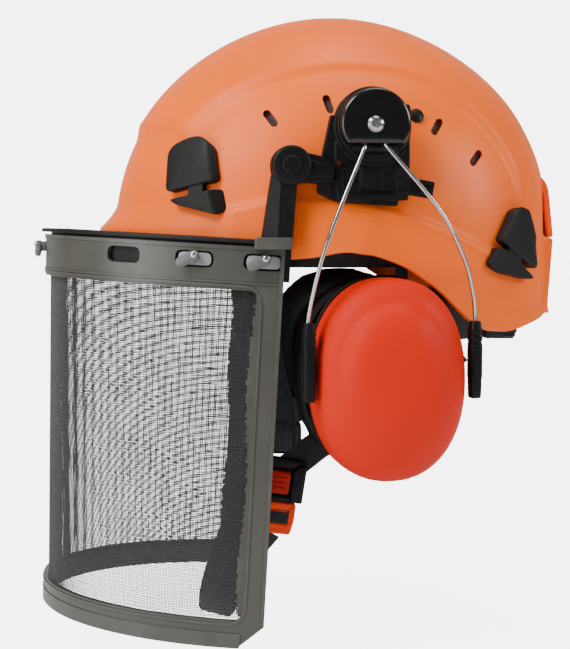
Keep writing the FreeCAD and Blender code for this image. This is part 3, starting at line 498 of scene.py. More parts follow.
def all_looks():
    return {
        "shell": plastic("shell_plastic", (1.0, 0.14, 0.0), 0.42, shade=0.96, grain=(420, 0.035), edge=0.4,
                         worn=0.08, shine=0.22),
        # painted shade: the shell's orange made redder and darker for the hook, which stands in shadow
        "hook": plastic("shaded_hook_plastic", (1.0, 0.1, 0.0), 0.4, shade=0.95, grain=(500, 0.06), edge=0.4,
                        worn=0.08, scatter=0.2, shine=0.2),
        "cup": plastic("cup_plastic", (0.66, 0.014, 0.0), 0.5, shade=0.94, grain=(420, 0.03), edge=0.4,
                       worn=0.06, shine=0.14),
        "frame": plastic("frame_plastic", (0.066, 0.064, 0.053), 0.36, shade=0.8, grain=(850, 0.12),
                         edge=0.35, worn=0.3),
        "arm": plastic("arm_plastic", (0.003, 0.003, 0.003), 0.46, shade=0.7, grain=(800, 0.14), edge=0.45,
                       worn=0.2, shine=0.2),
        "cap": plastic("cap_plastic", (0.002, 0.002, 0.0023), 0.22, shade=0.7, grain=(300, 0.02), coat=0.3,
                       edge=0.4, worn=0.15, shine=0.4),
        "clip": plastic("clip_plastic", (0.0085, 0.0085, 0.008), 0.5, shade=0.8, grain=(700, 0.15),
                        shine=0.2),
        "lever": plastic("lever_plastic", (0.13, 0.13, 0.12), 0.35, shade=0.8, grain=(700, 0.1), edge=0.4,
                         worn=0.35),
        "carrier": plastic("carrier_plastic", (0.32, 0.33, 0.33), 0.42, shade=0.85, grain=(700, 0.12),
                           edge=0.4, worn=0.2),
        "suspension": plastic("suspension_plastic", (0.006, 0.006, 0.007), 0.45, shade=0.75,
                              grain=(700, 0.15), edge=0.4, worn=0.3),
        "button": plastic("button_plastic", (0.42, 0.008, 0.002), 0.4, shade=0.85, grain=(600, 0.08),
                          edge=0.4, worn=0.1, shine=0.15),
        "tongue": plastic("tongue_plastic", (0.9, 0.05, 0.0), 0.4, shade=0.9, grain=(600, 0.08), edge=0.4,
                          worn=0.1, shine=0.15),
        "steel": steel("bright_steel", (0.55, 0.54, 0.53), 0.16),
        "wire": wire_paint(),
        "webbing": cloth("webbing_nylon", (0.004, 0.004, 0.0045)),
        "strap": cloth("strap_nylon", (0.02, 0.02, 0.022), 500),
        "lining": cloth("lining_cloth", (0.014, 0.014, 0.016), 800, 0.6),
        "cushion": leatherette("cushion_skin", (0.0014, 0.0014, 0.0015), 0.55),
        "foam": sponge("cup_foam_cells", (0.05, 0.05, 0.055)),
        # painted shade: the shell's orange darkened, for the shade seen in the bracket's holes
        "hole": plastic("painted_hole_shade", (0.07, 0.006, 0.001), 0.6, shade=0.7, grain=(600, 0.1), edge=0.3,
                        worn=0.05, shine=0.15),
    }


# ---------------------------------------------------------------- shell
def follow(pairs, value):
    table = np.array(pairs, float)
    return np.interp(value, table[:, 0], table[:, 1])


def soft_follow(pairs, value, spread=7.0):
    """Looks a value up in a table with its corners smoothed."""
    shifts = np.linspace(-spread, spread, 7)
    return sum(follow(pairs, value + shift) for shift in shifts) / len(shifts)


def ellipsoid_normal(points):
    normal = points / np.array([SHELL_HALF_WIDTH, SHELL_HALF_LENGTH, SHELL_HALF_LENGTH]) ** 2
    normal[..., 2] = np.maximum(normal[..., 2], 0)
    return normal / np.linalg.norm(normal, axis=-1)[..., None]


def relief(points):
    """How far the moulded ridges, cap and step stand proud of the plain shell, in millimetres."""
    x, y, z = np.abs(points[..., 0]), points[..., 1], points[..., 2]
    from_side = soft_follow(CAP_EDGE, y, 10) - x
    from_front = (z - 60) * 0.9 + np.maximum(0, y + 96) * 2.2
    inside = np.minimum(from_side, from_front)
    inside = inside - 3 * np.exp(-np.abs(from_side - from_front) / 5)
    fading = np.where(y > 40, smoothstep((z - 4) / 40), 1)
    bevel = 4.6 + 4.2 * smoothstep((-y - 30) / 50)
    cap = 2.5 * smoothstep(inside / bevel + 0.3) + 0.4 * np.exp(-((inside - bevel * 0.7) / 2.2) ** 2)
    middle = 1.3 * smoothstep((27 - x) / 7) * smoothstep((y + 60) / 60) * smoothstep((z - 10) / 25)
    ridge_height = soft_follow(SKIRT_RIDGE, y, 6)
    ends = smoothstep((y + 74) / 10) * smoothstep((92 - y) / 12)
    below = ridge_height - z
    skirt = ends * (2.0 * smoothstep(below / 4.5 + 0.5) + 0.35 * np.exp(-((below - 2.5) / 2.0) ** 2))
    skirt = skirt * (1 - 0.7 * smoothstep((-z - 16) / 14))
    back = smoothstep((y - 100) / 8)
    step = back * smoothstep((26 - x) / 2.4) * smoothstep((0.5 - z) / 2.5) * (6.3 + z * 0.07)
    lip = smoothstep((y - 92) / 14) * smoothstep((-42 - z) / 8) * 1.8
    crown = 1 - 0.8 * smoothstep((z - 70) / 60)
    return (cap + middle) * fading * crown + skirt + np.maximum(step, 0) + lip


def brim_shift(points):
    """How far the brim at the front flares forwards."""
    y, z = points[..., 1], points[..., 2]
    t = np.clip((20 - z) / 15, 0, 1)
    return y * (142.5 / SHELL_HALF_LENGTH - 1) * t ** 1.7 * smoothstep((-y - 52) / 45)


def shell_rows(columns, upper, lower):
    """Rows of points on the plain shell from the crown to the lower edge."""
    angle = np.arange(columns) * 2 * math.pi / columns
    across, along = np.cos(angle), np.sin(angle)
    rows = []
    for tilt in np.linspace(0.012, math.pi / 2, upper):
        rows.append(np.column_stack([SHELL_HALF_WIDTH * math.sin(tilt) * across,
                                     SHELL_HALF_LENGTH * math.sin(tilt) * along,
                                     np.full(columns, SHELL_HALF_LENGTH * math.cos(tilt))]))
    edge = soft_follow(LOWER_EDGE, SHELL_HALF_LENGTH * along, 4)
    for t in np.linspace(0, 1, lower + 1)[1:]:
        rows.append(np.column_stack([SHELL_HALF_WIDTH * across, SHELL_HALF_LENGTH * along, edge * t]))
    return np.array(rows)


def shell(looks):
    """The shell with its raised cap, skirt ridge, brim and vent holes."""
    outer = shell_rows(520, 118, 32)
    normal = ellipsoid_normal(outer)
    surface = outer + normal * relief(outer)[..., None]
    surface[..., 1] += brim_shift(outer)
    inner = shell_rows(520, 11, 5)
    inner_surface = inner - ellipsoid_normal(inner) * SHELL_WALL
    inner_surface[..., 1] += brim_shift(inner)
    rim, rim_in = surface[-1], inner_surface[-1]
    lips = []
    for t in np.linspace(0, 1, 6):
        round_out = math.sin(math.pi * t) * 0.4
        lips.append(rim * (1 - t) + rim_in * t - np.array([0, 0, round_out]))
    rows = list(surface[:-1]) + lips + list(inner_surface[::-1][1:])
    piece = made("shell", grid(rows, start_cap=True, end_cap=True), 50)
    cutters = []
    for rear, height, lean in VENTS:
        half = VENT_LENGTH / 2 - VENT_WIDTH / 2
        ends = np.vstack([circle(VENT_WIDTH / 2, 12, (0, half), 0, 180),
                          circle(VENT_WIDTH / 2, 12, (0, -half), 180, 360)])
        turn = Matrix.Rotation(math.radians(lean), 4, "Z")
        capsule = slab(ends, 260, 0.01, 1)
        cutters.append(moved(moved(capsule, Matrix.Translation((rear, height, 0)) @ turn), on_side(-130)))
    carved(piece, joined(*cutters), 50)
    set_up(piece, "helmet", looks["shell"], "shell", "helmet_shell")


def vent_shade_nets(looks):
    """The dark cloth patch behind each vent: a vent net, and also painted shade for the inside of the shell.
    """
    nets = []
    for rear, height, lean in VENTS:
        ring = circle(1.0, 28)
        turn = math.radians(lean)
        rows = []
        for size, proud in ((1.0, -3.2), (1.0, -4.0), (0.6, -4.0), (0.05, -4.0), (0.05, -3.2), (0.6, -3.2)):
            y = ring[:, 0] * 5.5 * size
            z = ring[:, 1] * 9.0 * size
            along = rear + y * math.cos(turn) - z * math.sin(turn)
            up = height + y * math.sin(turn) + z * math.cos(turn)
            x = SHELL_HALF_WIDTH * np.sqrt(1 - (along ** 2 + up ** 2) / SHELL_HALF_LENGTH ** 2)
            flat = np.column_stack([x, along, up])
            rows.append(flat + ellipsoid_normal(flat) * proud)
        nets.append(grid(rows, closed=True))
    net = joined(*nets)
    # the lining's dark cloth paints the shade seen through the vents
    set_up(made("vent_shade_nets", joined(net, mirrored(net))), "helmet", looks["lining"], "padding")


def vent_plugs(looks):
    """The round plug in the shell behind the vents, on each side."""
    button = lathe([(0.4, 2.2), (2.2, 2.1), (2.9, 1.7), (3.3, 1.6), (4.1, 1.4), (4.3, 0.9), (4.3, -4),
                    (0.4, -4)], 32)
    outside = SHELL_HALF_WIDTH * math.sqrt(1 - (PLUG[0] ** 2 + PLUG[1] ** 2) / SHELL_HALF_LENGTH ** 2)
    facing = Vector(ellipsoid_normal(np.array([outside, *PLUG]))).to_track_quat("Z", "Y")
    button = moved(button, Matrix.Translation((outside, *PLUG)) @ facing.to_matrix().to_4x4())
    set_up(made("vent_plugs", joined(button, mirrored(button))), "helmet", looks["arm"], "cap", "shell_plugs")


def on_shell(points, proud):
    """Points carried onto a surface standing proud of the shell."""
    points = np.asarray(points, float)
    reach = np.where(points[..., 2:] > 0, points, points * (1, 1, 0))
    sizes = np.array([SHELL_HALF_WIDTH, SHELL_HALF_LENGTH, SHELL_HALF_LENGTH])
    scale = 1 / np.sqrt(np.sum((reach / sizes) ** 2, axis=-1))[..., None]
    landed = np.where(points[..., 2:] > 0, points * scale, points * (1, 1, 0) * scale + points * (0, 0, 1))
    return landed + ellipsoid_normal(landed) * np.asarray(proud)[..., None]


def clip_shape(outline, proud, slope_from=None):
    """A pad standing on the shell; slope_from cuts its rear side down to a facet."""
    outline = rounded(outline, 3.5, 5)
    middle = outline.mean(axis=0)
    rows = []
    for size, level in ((1.0, -2), (1.0, 0.88), (0.99, 0.96), (0.97, 1.0), (0.9, 1.0), (0.8, 1.0),
                        (0.7, 1.0), (0.6, 1.0), (0.5, 1.0), (0.4, 1.0), (0.3, 1.0), (0.2, 1.0), (0.1, 1.0)):
        ring = middle + (outline - middle) * size
        heights = np.full(len(ring), proud * level if level > 0 else level)
        if slope_from is not None and level > 0:
            back = ring[:, 1] - slope_from(ring)
            heights = heights - np.clip(back, 0, 20) * 0.95
        rows.append(on_shell(ring, heights))
    return grid(rows, start_cap=True, end_cap=True)


def lamp_clips(looks):
    """Four lamp clips: an upper and a lower pad with a slot between, bridged in the middle."""
    front_upper = [(63.8, -99.3, 46.8), (64.7, -96.2, 51), (70, -87.7, 55), (74.5, -81.1, 55.8),
                   (80.6, -75.3, 50.4), (87.7, -73.2, 30.8), (69.8, -100.9, 24.4)]
    front_lower = [(71.9, -99.5, 20.1), (85.8, -78.7, 25.1), (89.1, -71.9, 27.2), (91.9, -70.1, 14),
                   (89.5, -75.2, 11.9), (75.8, -95.4, 17.2)]
    rear_upper = [(74.6, 97.2, 14.6), (70.3, 101.8, 17), (64.4, 108.1, 14.8), (56.8, 115.3, 8.8),
                  (53.3, 118.3, -1.2), (58.6, 112.5, -20.1), (82.4, 87.8, -2.7)]
    rear_lower = [(83.7, 85.6, -6.3), (79.7, 91.5, -7.5), (58.8, 111.2, -25.2), (66.1, 104.5, -25.2),
                  (82.4, 85.5, -20.7), (87.1, 78.7, -16.4)]
    front_bridge = [(78, -89, 30), (84, -82, 31), (85, -82, 20), (79, -89, 18)]
    rear_bridge = [(76, 94, -3), (68, 103, -9), (69, 102, -17), (77, 93, -12)]
    front = joined(clip_shape(front_upper, 6.2, lambda p: -78.5 + (55 - p[:, 2]) * 0.1),
                   clip_shape(front_lower, 6.0, lambda p: -78 + (25 - p[:, 2]) * 0.25),
                   clip_shape(front_bridge, 4.6))
    rear = joined(clip_shape(rear_upper, 6.2, lambda p: 112 - (p[:, 2]) * 0.3), clip_shape(rear_lower, 5.6),
                  clip_shape(rear_bridge, 4.4))
    for name, shape in (("front_lamp_clips", front), ("rear_lamp_clips", rear)):
        set_up(made(name, joined(shape, mirrored(shape)), 42), "helmet", looks["clip"], "clip", name)


def rear_hook(looks):
    """The strap hook at the back: a plate standing off the shell, joined to it at the top."""
    side = np.array([(0, 37), (2.6, 36.7), (5, 35), (6.3, 32), (6.6, 28), (6.6, 0.4), (6, -0.8),
                     (3.0, -0.8), (1.9, 0.4), (1.8, 26), (1.2, 28), (-1, 29)])
    rows = []
    stations = np.concatenate([[-20, -19.7, -18.6], np.linspace(-17, 17, 16), [18.6, 19.7, 20]])
    for x in stations:
        pinch = 1 - 0.5 * max(0, (abs(x) - 18.2) / 1.8)
        middle = np.array([4.5, 18])
        loop = middle + (side - middle) * (pinch, 1 - 0.03 * (1 - pinch))
        across, up = (x / SHELL_HALF_WIDTH) ** 2, (loop[:, 1] / SHELL_HALF_LENGTH) ** 2
        base = SHELL_HALF_LENGTH * np.sqrt(1 - across - up)
        rows.append(np.column_stack([np.full(len(loop), x), base + loop[:, 0], loop[:, 1]]))
    # the hook's plastic carries painted shade
    set_up(made("rear_hook", grid(rows, start_cap=True, end_cap=True), 30), "helmet", looks["hook"],
           "shell", "rear_lamp_hook")


# ---------------------------------------------------------------- visor
def wall_lengths():
    """Ellipse angles and how far each lies along the visor's wall from its front, in millimetres."""
    angles = np.linspace(-6, 186, 1200)
    turn = np.radians(angles)
    points = np.column_stack([VISOR_HALF_WIDTH * np.cos(turn), VISOR_REACH * np.sin(turn)])
    length = np.concatenate([[0], np.cumsum(np.linalg.norm(np.diff(points, axis=0), axis=1))])
    return angles, length - np.interp(90, angles, length)


WALL_ANGLES, WALL_LENGTHS = wall_lengths()


def wall_angle(distance):
    return np.interp(distance, WALL_LENGTHS, WALL_ANGLES)


def wall_distance(angle):
    """How far an ellipse angle lies along the wall, growing from the left side over the front."""
    return -float(np.interp(angle, WALL_ANGLES, WALL_LENGTHS))


def on_visor(points):
    """Bends flat points (along the wall, out of it, up) round the visor and leans them into place.
    Distance along the wall grows from the left side over the front to the right."""
    points = np.asarray(points, float)
    along, out, up = points[..., 0], points[..., 1], points[..., 2]
    angle = np.radians(wall_angle(along))
    reach = VISOR_REACH + VISOR_FLARE * up
    x, y = VISOR_HALF_WIDTH * np.cos(angle), -reach * np.sin(angle)
    nx, ny = np.cos(angle) / VISOR_HALF_WIDTH, -np.sin(angle) / reach
    length = np.sqrt(nx ** 2 + ny ** 2)
    x, y = x + out * nx / length, y + out * ny / length
    cos, sin = math.cos(VISOR_LEAN), math.sin(VISOR_LEAN)
    return np.stack([x + VISOR_ORIGIN[0], VISOR_ORIGIN[1] + y * cos + up * sin,
                     VISOR_ORIGIN[2] + up * cos - y * sin],
                    axis=-1)


def bent(shape):
    return on_visor(shape[0]), shape[1]


def bend_piece(piece, sharp=38):
    """Bends a flat piece's own vertices round the visor."""
    count = len(piece.data.vertices)
    flat = np.zeros(count * 3)
    piece.data.vertices.foreach_get("co", flat)
    curved = on_visor(flat.reshape(-1, 3) / MM) * MM
    piece.data.vertices.foreach_set("co", curved.ravel())
    piece.data.update()
    edit = bmesh.new()
    edit.from_mesh(piece.data)
    bmesh.ops.recalc_face_normals(edit, faces=edit.faces)
    edit.to_mesh(piece.data)
    edit.free()
    soften(piece.data, sharp)
    return piece


def flat_panel(low, high, bottom, top, back, front, pitch):
    """A flat plate cut into a grid, so it can be bent."""
    columns = np.linspace(low, high, int((high - low) / pitch) + 1)
    levels = np.linspace(bottom, top, int((top - bottom) / pitch) + 1)
    rows = []
    for depth in (back, front):
        rows.append(np.array([[(s, depth, z) for s in columns] for z in levels]))
    width, height = len(columns), len(levels)
    points = np.vstack([row.reshape(-1, 3) for row in rows])
    faces = []
    size = width * height
    for layer in (0, 1):
        for j in range(height - 1):
            for i in range(width - 1):
                a = layer * size + j * width + i
                faces.append((a, a + 1, a + width + 1, a + width))
    border = list(range(width)) + [j * width + width - 1 for j in range(1, height)]
    border += [size - 1 - i for i in range(1, width)] + [j * width for j in range(height - 2, 0, -1)]
    for index, a in enumerate(border):
        b = border[(index + 1) % len(border)]
        faces.append((a, b, b + size, a + size))
    return points, faces


def upright(shape):
    """Stands a flat XY shape up in the visor's flat space, thickened outwards."""
    turn = Matrix(((1, 0, 0, 0), (0, 0, 1, 0), (0, 1, 0, 0), (0, 0, 0, 1)))
    return moved(shape, turn)


def rounded_box(low, high, bottom, top, radius, steps=6):
    return rounded([(low, bottom), (high, bottom), (high, top), (low, top)], radius, steps)


def bead(outline, width, height, level=0.0, spacing=4.0, closed=True):
    """A raised line along an outline in the visor's flat space."""
    outline = np.asarray(outline, float)
    if closed:
        outline = np.vstack([outline, outline[:1]])
    path = evenly(outline, spacing)
    if closed:
        path = path[:-1]
    path = np.column_stack([path[:, 0], np.full(len(path), level), path[:, 1]])
    half = width / 2
    profile = [(-half, -0.6), (-half, height * 0.3), (-half * 0.6, height * 0.85), (0, height),
               (half * 0.6, height * 0.85), (half, height * 0.3), (half, -0.6)]
    along = np.roll(path, -1, axis=0) - np.roll(path, 1, axis=0) if closed else np.gradient(path, axis=0)
    across = np.cross(along, (0, 1, 0))
    return sweep(path, profile, across, closed)


def visor_frame(looks):
    """The frame round the mesh, with its window, lock slots, beads and bottom roll."""
    high = wall_distance(0)
    low = -high
    panel = made("visor_frame", flat_panel(low, high, -VISOR_HEIGHT, 0, -FRAME_WALL, 0, 3.2))
    window = slab(rounded_box(low + SIDE_STRIP, high - SIDE_STRIP, WINDOW_BOTTOM, WINDOW_TOP, 4.5), 12,
                  0.01, 1)
    cutters = [moved(upright(window), Matrix.Translation((0, -7, 0)))]
    for angle in SLOT_ANGLES:
        s = wall_distance(angle)
        hole = slab(rounded_box(s - 11, s + 11, SLOT_LEVEL - 4.5, SLOT_LEVEL + 4.5, 4.4), 12, 0.01, 1)
        cutters.append(moved(upright(hole), Matrix.Translation((0, -7, 0))))
    for side in (-1, 1):
        corner = slab(np.array([(high + 3, -209), (high + 3, -228), (high - 18, -228), (high - 14, -222.5)])
                      * (side, 1), 12, 0.01, 1)
        cutters.append(moved(upright(corner), Matrix.Translation((0, -7, 0))))
    carved(panel, joined(*cutters))
    bend_piece(panel)
    lines = [bead(rounded_box(low + SIDE_STRIP - 2.2, high - SIDE_STRIP + 2.2, WINDOW_BOTTOM - 2.2,
                              WINDOW_TOP + 2.2, 11), 1.5, 0.9),
             bead([(low + 1, -20.5), (high - 1, -20.5)], 1.1, 0.6, 0, 4, False),
             bead([(low + 1, -1.2), (high - 1, -1.2)], 2.2, 1.0, 0, 4, False),
             bead([(low + 14, -219.5), (high - 14, -219.5)], 8.0, 1.9, 0, 4, False),
             bead([(low + 1.2, -4), (low + 1.2, -207)], 2.2, 0.9, 0, 5, False),
             bead([(high - 1.2, -4), (high - 1.2, -207)], 2.2, 0.9, 0, 5, False)]
    trim = made("visor_frame_beads", bent(joined(*lines)), 45)
    set_up(panel, "visor", looks["frame"], "frame", "visor_frame")
    set_up(trim, "visor", looks["frame"], "frame")


def visor_mesh(looks):
    """Woven wire: uprights, and level wires by turns outside and inside them. Each wire sways a little."""
    edge = wall_distance(0) - MESH_MARGIN
    upright_section = circle(UPRIGHT_WIRE / 2, 4)
    level_section = circle(LEVEL_WIRE / 2, 4)
    uneven = np.random.default_rng(MESH_SEED)
    depth = -FRAME_WALL - 0.25
    uprights, levels = [], []
    heights = np.linspace(MESH_BOTTOM, MESH_TOP, 50)
    for s in np.arange(-edge, edge, WIRE_PITCH):
        slow, quick = uneven.uniform(0, 6.28, 2)
        sway = 0.07 * np.sin(heights / 8 + slow) + 0.05 * np.sin(heights / 4 + quick)
        rows = [[(s + shift + a, depth + b, z) for a, b in upright_section] for z,
                shift in zip(heights, sway)]
        uprights.append(grid(rows, start_cap=True, end_cap=True))
    stations = np.linspace(-edge, edge, 110)
    for index, z in enumerate(np.arange(MESH_BOTTOM, MESH_TOP, WIRE_PITCH)):
        out = 0.1 if index % 2 else -0.1
        slow, quick = uneven.uniform(0, 6.28, 2)
        sway = 0.07 * np.sin(stations / 8 + slow) + 0.05 * np.sin(stations / 4 + quick)
        rows = [[(s, depth + out + b, z + shift + a) for a, b in level_section] for s,
                shift in zip(stations, sway)]
        levels.append(grid(rows, start_cap=True, end_cap=True))
    set_up(made("visor_mesh_uprights", bent(joined(*uprights))), "visor", looks["wire"], "mesh", "visor_mesh")
    set_up(made("visor_mesh_levels", bent(joined(*levels))), "visor", looks["wire"], "mesh")
    mesh_binding(looks, edge + MESH_MARGIN - SIDE_STRIP)


def mesh_binding(looks, border):
    """The ragged strips of plastic that hold the mesh along the window's sides."""
    ragged = np.random.default_rng(MESH_SEED)
    strips = []
    for side in (-1, 1):
        heights = np.arange(WINDOW_BOTTOM + 2, WINDOW_TOP - 1, 1.6)
        width = 2.4 + 1.3 * np.sin(heights / 17.0) + ragged.uniform(-0.8, 0.8, len(heights))
        rows = []
        for z, reach in zip(heights, width):
            outer, inner = side * (border + 1), side * (border - reach)
            for level in (z, z + 1.55):
                rows.append([(outer, -2.9, level), (inner, -2.9, level), (inner, -2.4, level),
                             (outer, -2.4, level)])
        strips.append(grid(rows, start_cap=True, end_cap=True))
    set_up(made("mesh_binding", bent(joined(*strips))), "visor", looks["frame"], "mesh")


def visor_carrier(looks):
    """The carrier behind the frame's top strip, and the rain lip above it."""
    edge = wall_distance(-1.5)
    lip = [(2.5, 1.5), (2.5, 2.7), (2.2, 3.3), (1.6, 3.5), (-13.0, 4.0), (-13.4, 3.8), (-13.4, 2.4),
           (-13.0, 2.0), (-4.8, 1.6), (-4.8, -18.6), (-4.5, -19), (-3.6, -19), (-3.3, -18.6), (-3.3, 1.2),
           (2.1, 1.2)]
    rows = [[(s, out, up) for out, up in lip] for s in np.linspace(-edge, edge, 150)]
    piece = made("visor_carrier", bent(grid(rows, start_cap=True, end_cap=True)), 30)
    set_up(piece, "visor", looks["clip"], "frame", "visor_carrier")
    bosses = []
    for angle in LOCK_ANGLES.values():
        s = wall_distance(angle)
        boss = slab(rounded_box(s - 9.6, s + 9.6, SLOT_LEVEL - 3.6, SLOT_LEVEL + 3.6, 3.5), 2.4, 0.5)
        bosses.append(moved(upright(boss), Matrix.Translation((0, -3.2, 0))))
    set_up(made("slot_bosses", bent(joined(*bosses))), "visor", looks["carrier"], "frame")


def turn_locks(looks):
    """Five rounded levers, each with a bright pin at its upper end."""
    for name, angle in LOCK_ANGLES.items():
        outline = lever_outline(3.2, 2.9, 8.0)
        lever = slab(outline, 3.2, 0.8, 3)
        dish = slab(inset(outline, 1.2), 0.5, 0.2, 2)
        lever = moved(joined(lever, moved(dish, Matrix.Translation((0, 0, 3.05)))),
                      Matrix.Translation((0, 0, 2.7)))
        collar = lathe([(0.2, -2.8), (2.7, -2.8), (2.7, 0.3), (3.1, 0.3), (3.1, 3.2), (0.2, 3.2)], 28)
        pin = lathe([(0.2, 5.4), (2.1, 5.4), (2.1, 6.5), (1.7, 7.1), (0.9, 7.4), (0.2, 7.45)], 28)
        pin = moved(pin, Matrix.Translation((1.6, 0.6, 0)))
        s = wall_distance(angle)
        turn = Matrix.Rotation(LEVER_LEAN, 4, "Z")
        if angle > 90:
            turn = Matrix.Scale(-1, 4, (1, 0, 0)) @ turn
        place = wall_place(s, SLOT_LEVEL + 1)
        body = f"{name}_turn_lock"
        lever_piece = made(f"{name}_lever", moved(joined(lever, collar), place @ turn))
        set_up(lever_piece, body, looks["lever"], "arm", body)
        set_up(made(f"{name}_lock_pin", moved(pin, place @ turn)), body, looks["steel"], "screw")


def lever_outline(start_radius, end_radius, length):
    """Two round ends joined by straight sides, lying along −X from the start."""
    start = circle(start_radius, 16, (1, 0), -94, 94)
    end = circle(end_radius, 16, (1 - length, 0), 94, 266)
    return np.vstack([start, end])


def wall_place(along, up):
    """The place on the visor's outer wall with X along the wall to the right, Y up and Z outwards."""
    here, beside, above = on_visor([(along, 0, up), (along + 0.5, 0, up), (along, 0, up + 0.5)])
    x = Vector(beside - here).normalized()
    y = Vector(above - here)
    y = (y - x * y.dot(x)).normalized()
    z = x.cross(y)
    outwards = Vector(on_visor([(along, 1, up)])[0] - here)
    if z.dot(outwards) < 0:
        z = -z
    return Matrix(((x[0], y[0], z[0], here[0]), (x[1], y[1], z[1], here[1]), (x[2], y[2], z[2], here[2]),
                   (0, 0, 0, 1)))


# ---------------------------------------------------------------- visor pivot and ear-muff bracket
def visor_pivot(looks):
    """The round barrel with its layers, the faceted arm, and the pin's head."""
    barrel = [(0.3, 0), (10.6, 0), (11, 0.5), (11, 4.2), (10.5, 4.8), (10.5, 8.8), (10.8, 9.4),
              (10.8, 13.8), (10.2, 14.6), (9.2, 15.0), (0.3, 15.2)]
    barrel_shape = moved(lathe(barrel, 56), on_side(102.2, *PIVOT))
    rows = []
    for level, front, ridge, back, out in ((-2, -50.6, -41.6, -33.4, 114.2), (26, -46.4, -40, -31.4, 114.6),
                                           (34, -45, -39.5, -30.6, 114.0)):
        rows.append([(103.3, front + 0.8, level), (106.5, front, level), (109.2, front + 0.5, level),
                     (out, ridge - 0.5, level), (out, ridge + 0.3, level), (out - 1.6, back - 0.4, level),
                     (out - 2.4, back, level), (103.3, back, level)])
    shaft = grid(rows, start_cap=True, end_cap=True)
    foot = side_plate(rounded([(-54.3, -7.4), (-54.3, -1.6), (-53, -0.8), (-33.8, -0.8),
                               (-33.6, -7.4)], 0.8, 4), 103.2,
                      115.2, 0.7)
    both_sides("arm_shaft", shaft, "visor", looks["arm"], "arm", "visor_arm", 25)
    both_sides("arm_foot", foot, "visor", looks["frame"], "arm")
    both_sides("pivot_barrel", barrel_shape, "visor", looks["arm"], "arm")
    head = lathe([(0.3, 0), (5.2, 0), (5.2, 0.8), (4.6, 1.4), (0.3, 1.7)], 36)
    head = moved(head, on_side(117.3, *PIVOT))
    set_up(made("hinge_pins", joined(head, mirrored(head))), "helmet", looks["arm"], "arm", "hinge_pins")


def along_bar(points):
    """Points given along and across the mount bar, in the side's (Y, Z)."""
    along = Vector((math.cos(BAR_SLOPE), math.sin(BAR_SLOPE)))
    over = Vector((-along.y, along.x))
    return [(Vector(PIVOT) + along * a + over * b)[:] for a, b in points]


def mount_bar(looks):
    """The bar from the pivot into the bracket, with its two rails and its thicker neck."""
    bar = along_bar([(0, 5.6), (12, 4.9), (80, 4.7), (80, -4.7), (12, -4.9), (0, -5.6)])
    bar = side_plate(rounded(bar, 0.8, 3), 106.4, 109.6, 0.5)
    rails = []
    for low, high in ((2.6, 4.7), (-4.7, -2.6)):
        rail = along_bar([(24, low), (79.5, low), (79.5, high), (24, high)])
        rails.append(side_plate(rounded(rail, 0.5, 3), 109, 111, 0.5))
    neck = along_bar([(4, 8.5), (14, 8), (24, 5.4), (24, -5.4), (14, -7.5), (4, -8.5)])
    neck = side_plate(rounded(neck, 1.5, 4), 105.6, 113.4, 1.2)
    neck_rib = along_bar([(8, 5), (22, 3.4), (22, -3.4), (8, -5)])
    neck_rib = side_plate(rounded(neck_rib, 1, 4), 113.0, 114.6, 0.8)
    both_sides("mount_bar", joined(bar, neck, neck_rib, *rails), "helmet", looks["arm"], "arm", "visor_mount")


def bracket(looks):
    """The bracket on the shell's side: a round head over a ribbed, stepped foot."""
    rear, height = HUB_MIDDLE
    head = side_plate(circle(21.5, 72, (rear, height)), 103.4, 111.2, 1.2)
    foot = side_plate(rounded([(-10.35, 52), (-10.35, 28), (-8.5, 20.5), (-2, 19.6), (12, 21), (30, 20),
                               (31.15, 24), (31.15, 52)], 1.6, 4), 102.6, 110.4, 0.9)
    back_plate = side_plate(rounded([(-12.6, 66), (-17.2, 44.4), (-20.0, 23.6), (-12, 19.6), (-8, 18.2),
                                     (24.3, 16.2), (27.4, 26.5), (31, 48),
                                     (31.6, 60)], 1.2, 4), 103.4, 109.6, 0.8)
    ribs = [back_plate]
    for offset in (-13.6, -6.4, 3.2, 15.4, 23.4):
        rib = [(offset, 40), (offset, 23.5), (offset + 0.9, 23.5), (offset + 0.9, 40)]
        ribs.append(side_plate(rounded(rib, 0.3, 3), 109, 111.2, 0.3))
    middle = side_plate(rounded([(4, 44), (4, 26), (15.5, 25), (15.5, 44)], 1.2, 4), 110, 111.6, 0.6)
    toe = side_plate(rounded([(-9.5, 23), (-9, 19.4), (7, 18), (12, 20.5), (18, 18.8), (30, 19.5),
                              (30, 24)], 1, 4),
                     108, 112.4, 0.8)
    front_tab = side_plate(rounded([(-15.5, 36), (-10, 37), (-10, 27), (-14, 28)], 1, 4), 105, 109.5, 0.6)
    webs = joined(head, foot, middle, toe, front_tab, *ribs)
    both_sides("bracket_piece", webs, "helmet", looks["arm"], "arm", "bracket")


def hub(looks):
    """The turning hub, a disc with a thin arc, and dark-red discs of painted shade for the two small holes in
    the bracket under it.
    """
    rear, height = HUB_MIDDLE
    disc = side_plate(circle(20.2, 80, (rear, height)), 111.7, 116.9, 1.0)
    tab = side_plate(rounded([(25, 71), (29.4, 71.5), (30.6, 69), (30.3, 65.5), (26.5, 65)], 0.8, 4), 111.8,
                     115.6, 0.5)
    arc = np.vstack([circle(16.8, 20, (rear, height), 200, 340), circle(16.0, 20, (rear, height), 340, 200)])
    arc_line = side_plate(arc, 116.6, 117.4, 0.3, 2)
    lower_plate = side_plate(circle(22.4, 60, (rear, height), 215, 325), 111.4, 113.6, 0.6)
    both_sides("hub_disc", joined(disc, tab, arc_line, lower_plate), "hub", looks["arm"], "arm", "hub")
    # painted shade: solid dark-red discs stand on the bracket where its two holes show shade
    holes = [side_plate(circle(1.5, 20, (rear + shift, 39.5)), 111.0, 112.3, 0.2,
                        2) for shift in (-18.6, 16.2)]
    both_sides("bracket_holes", joined(*holes), "helmet", looks["hole"], "arm")


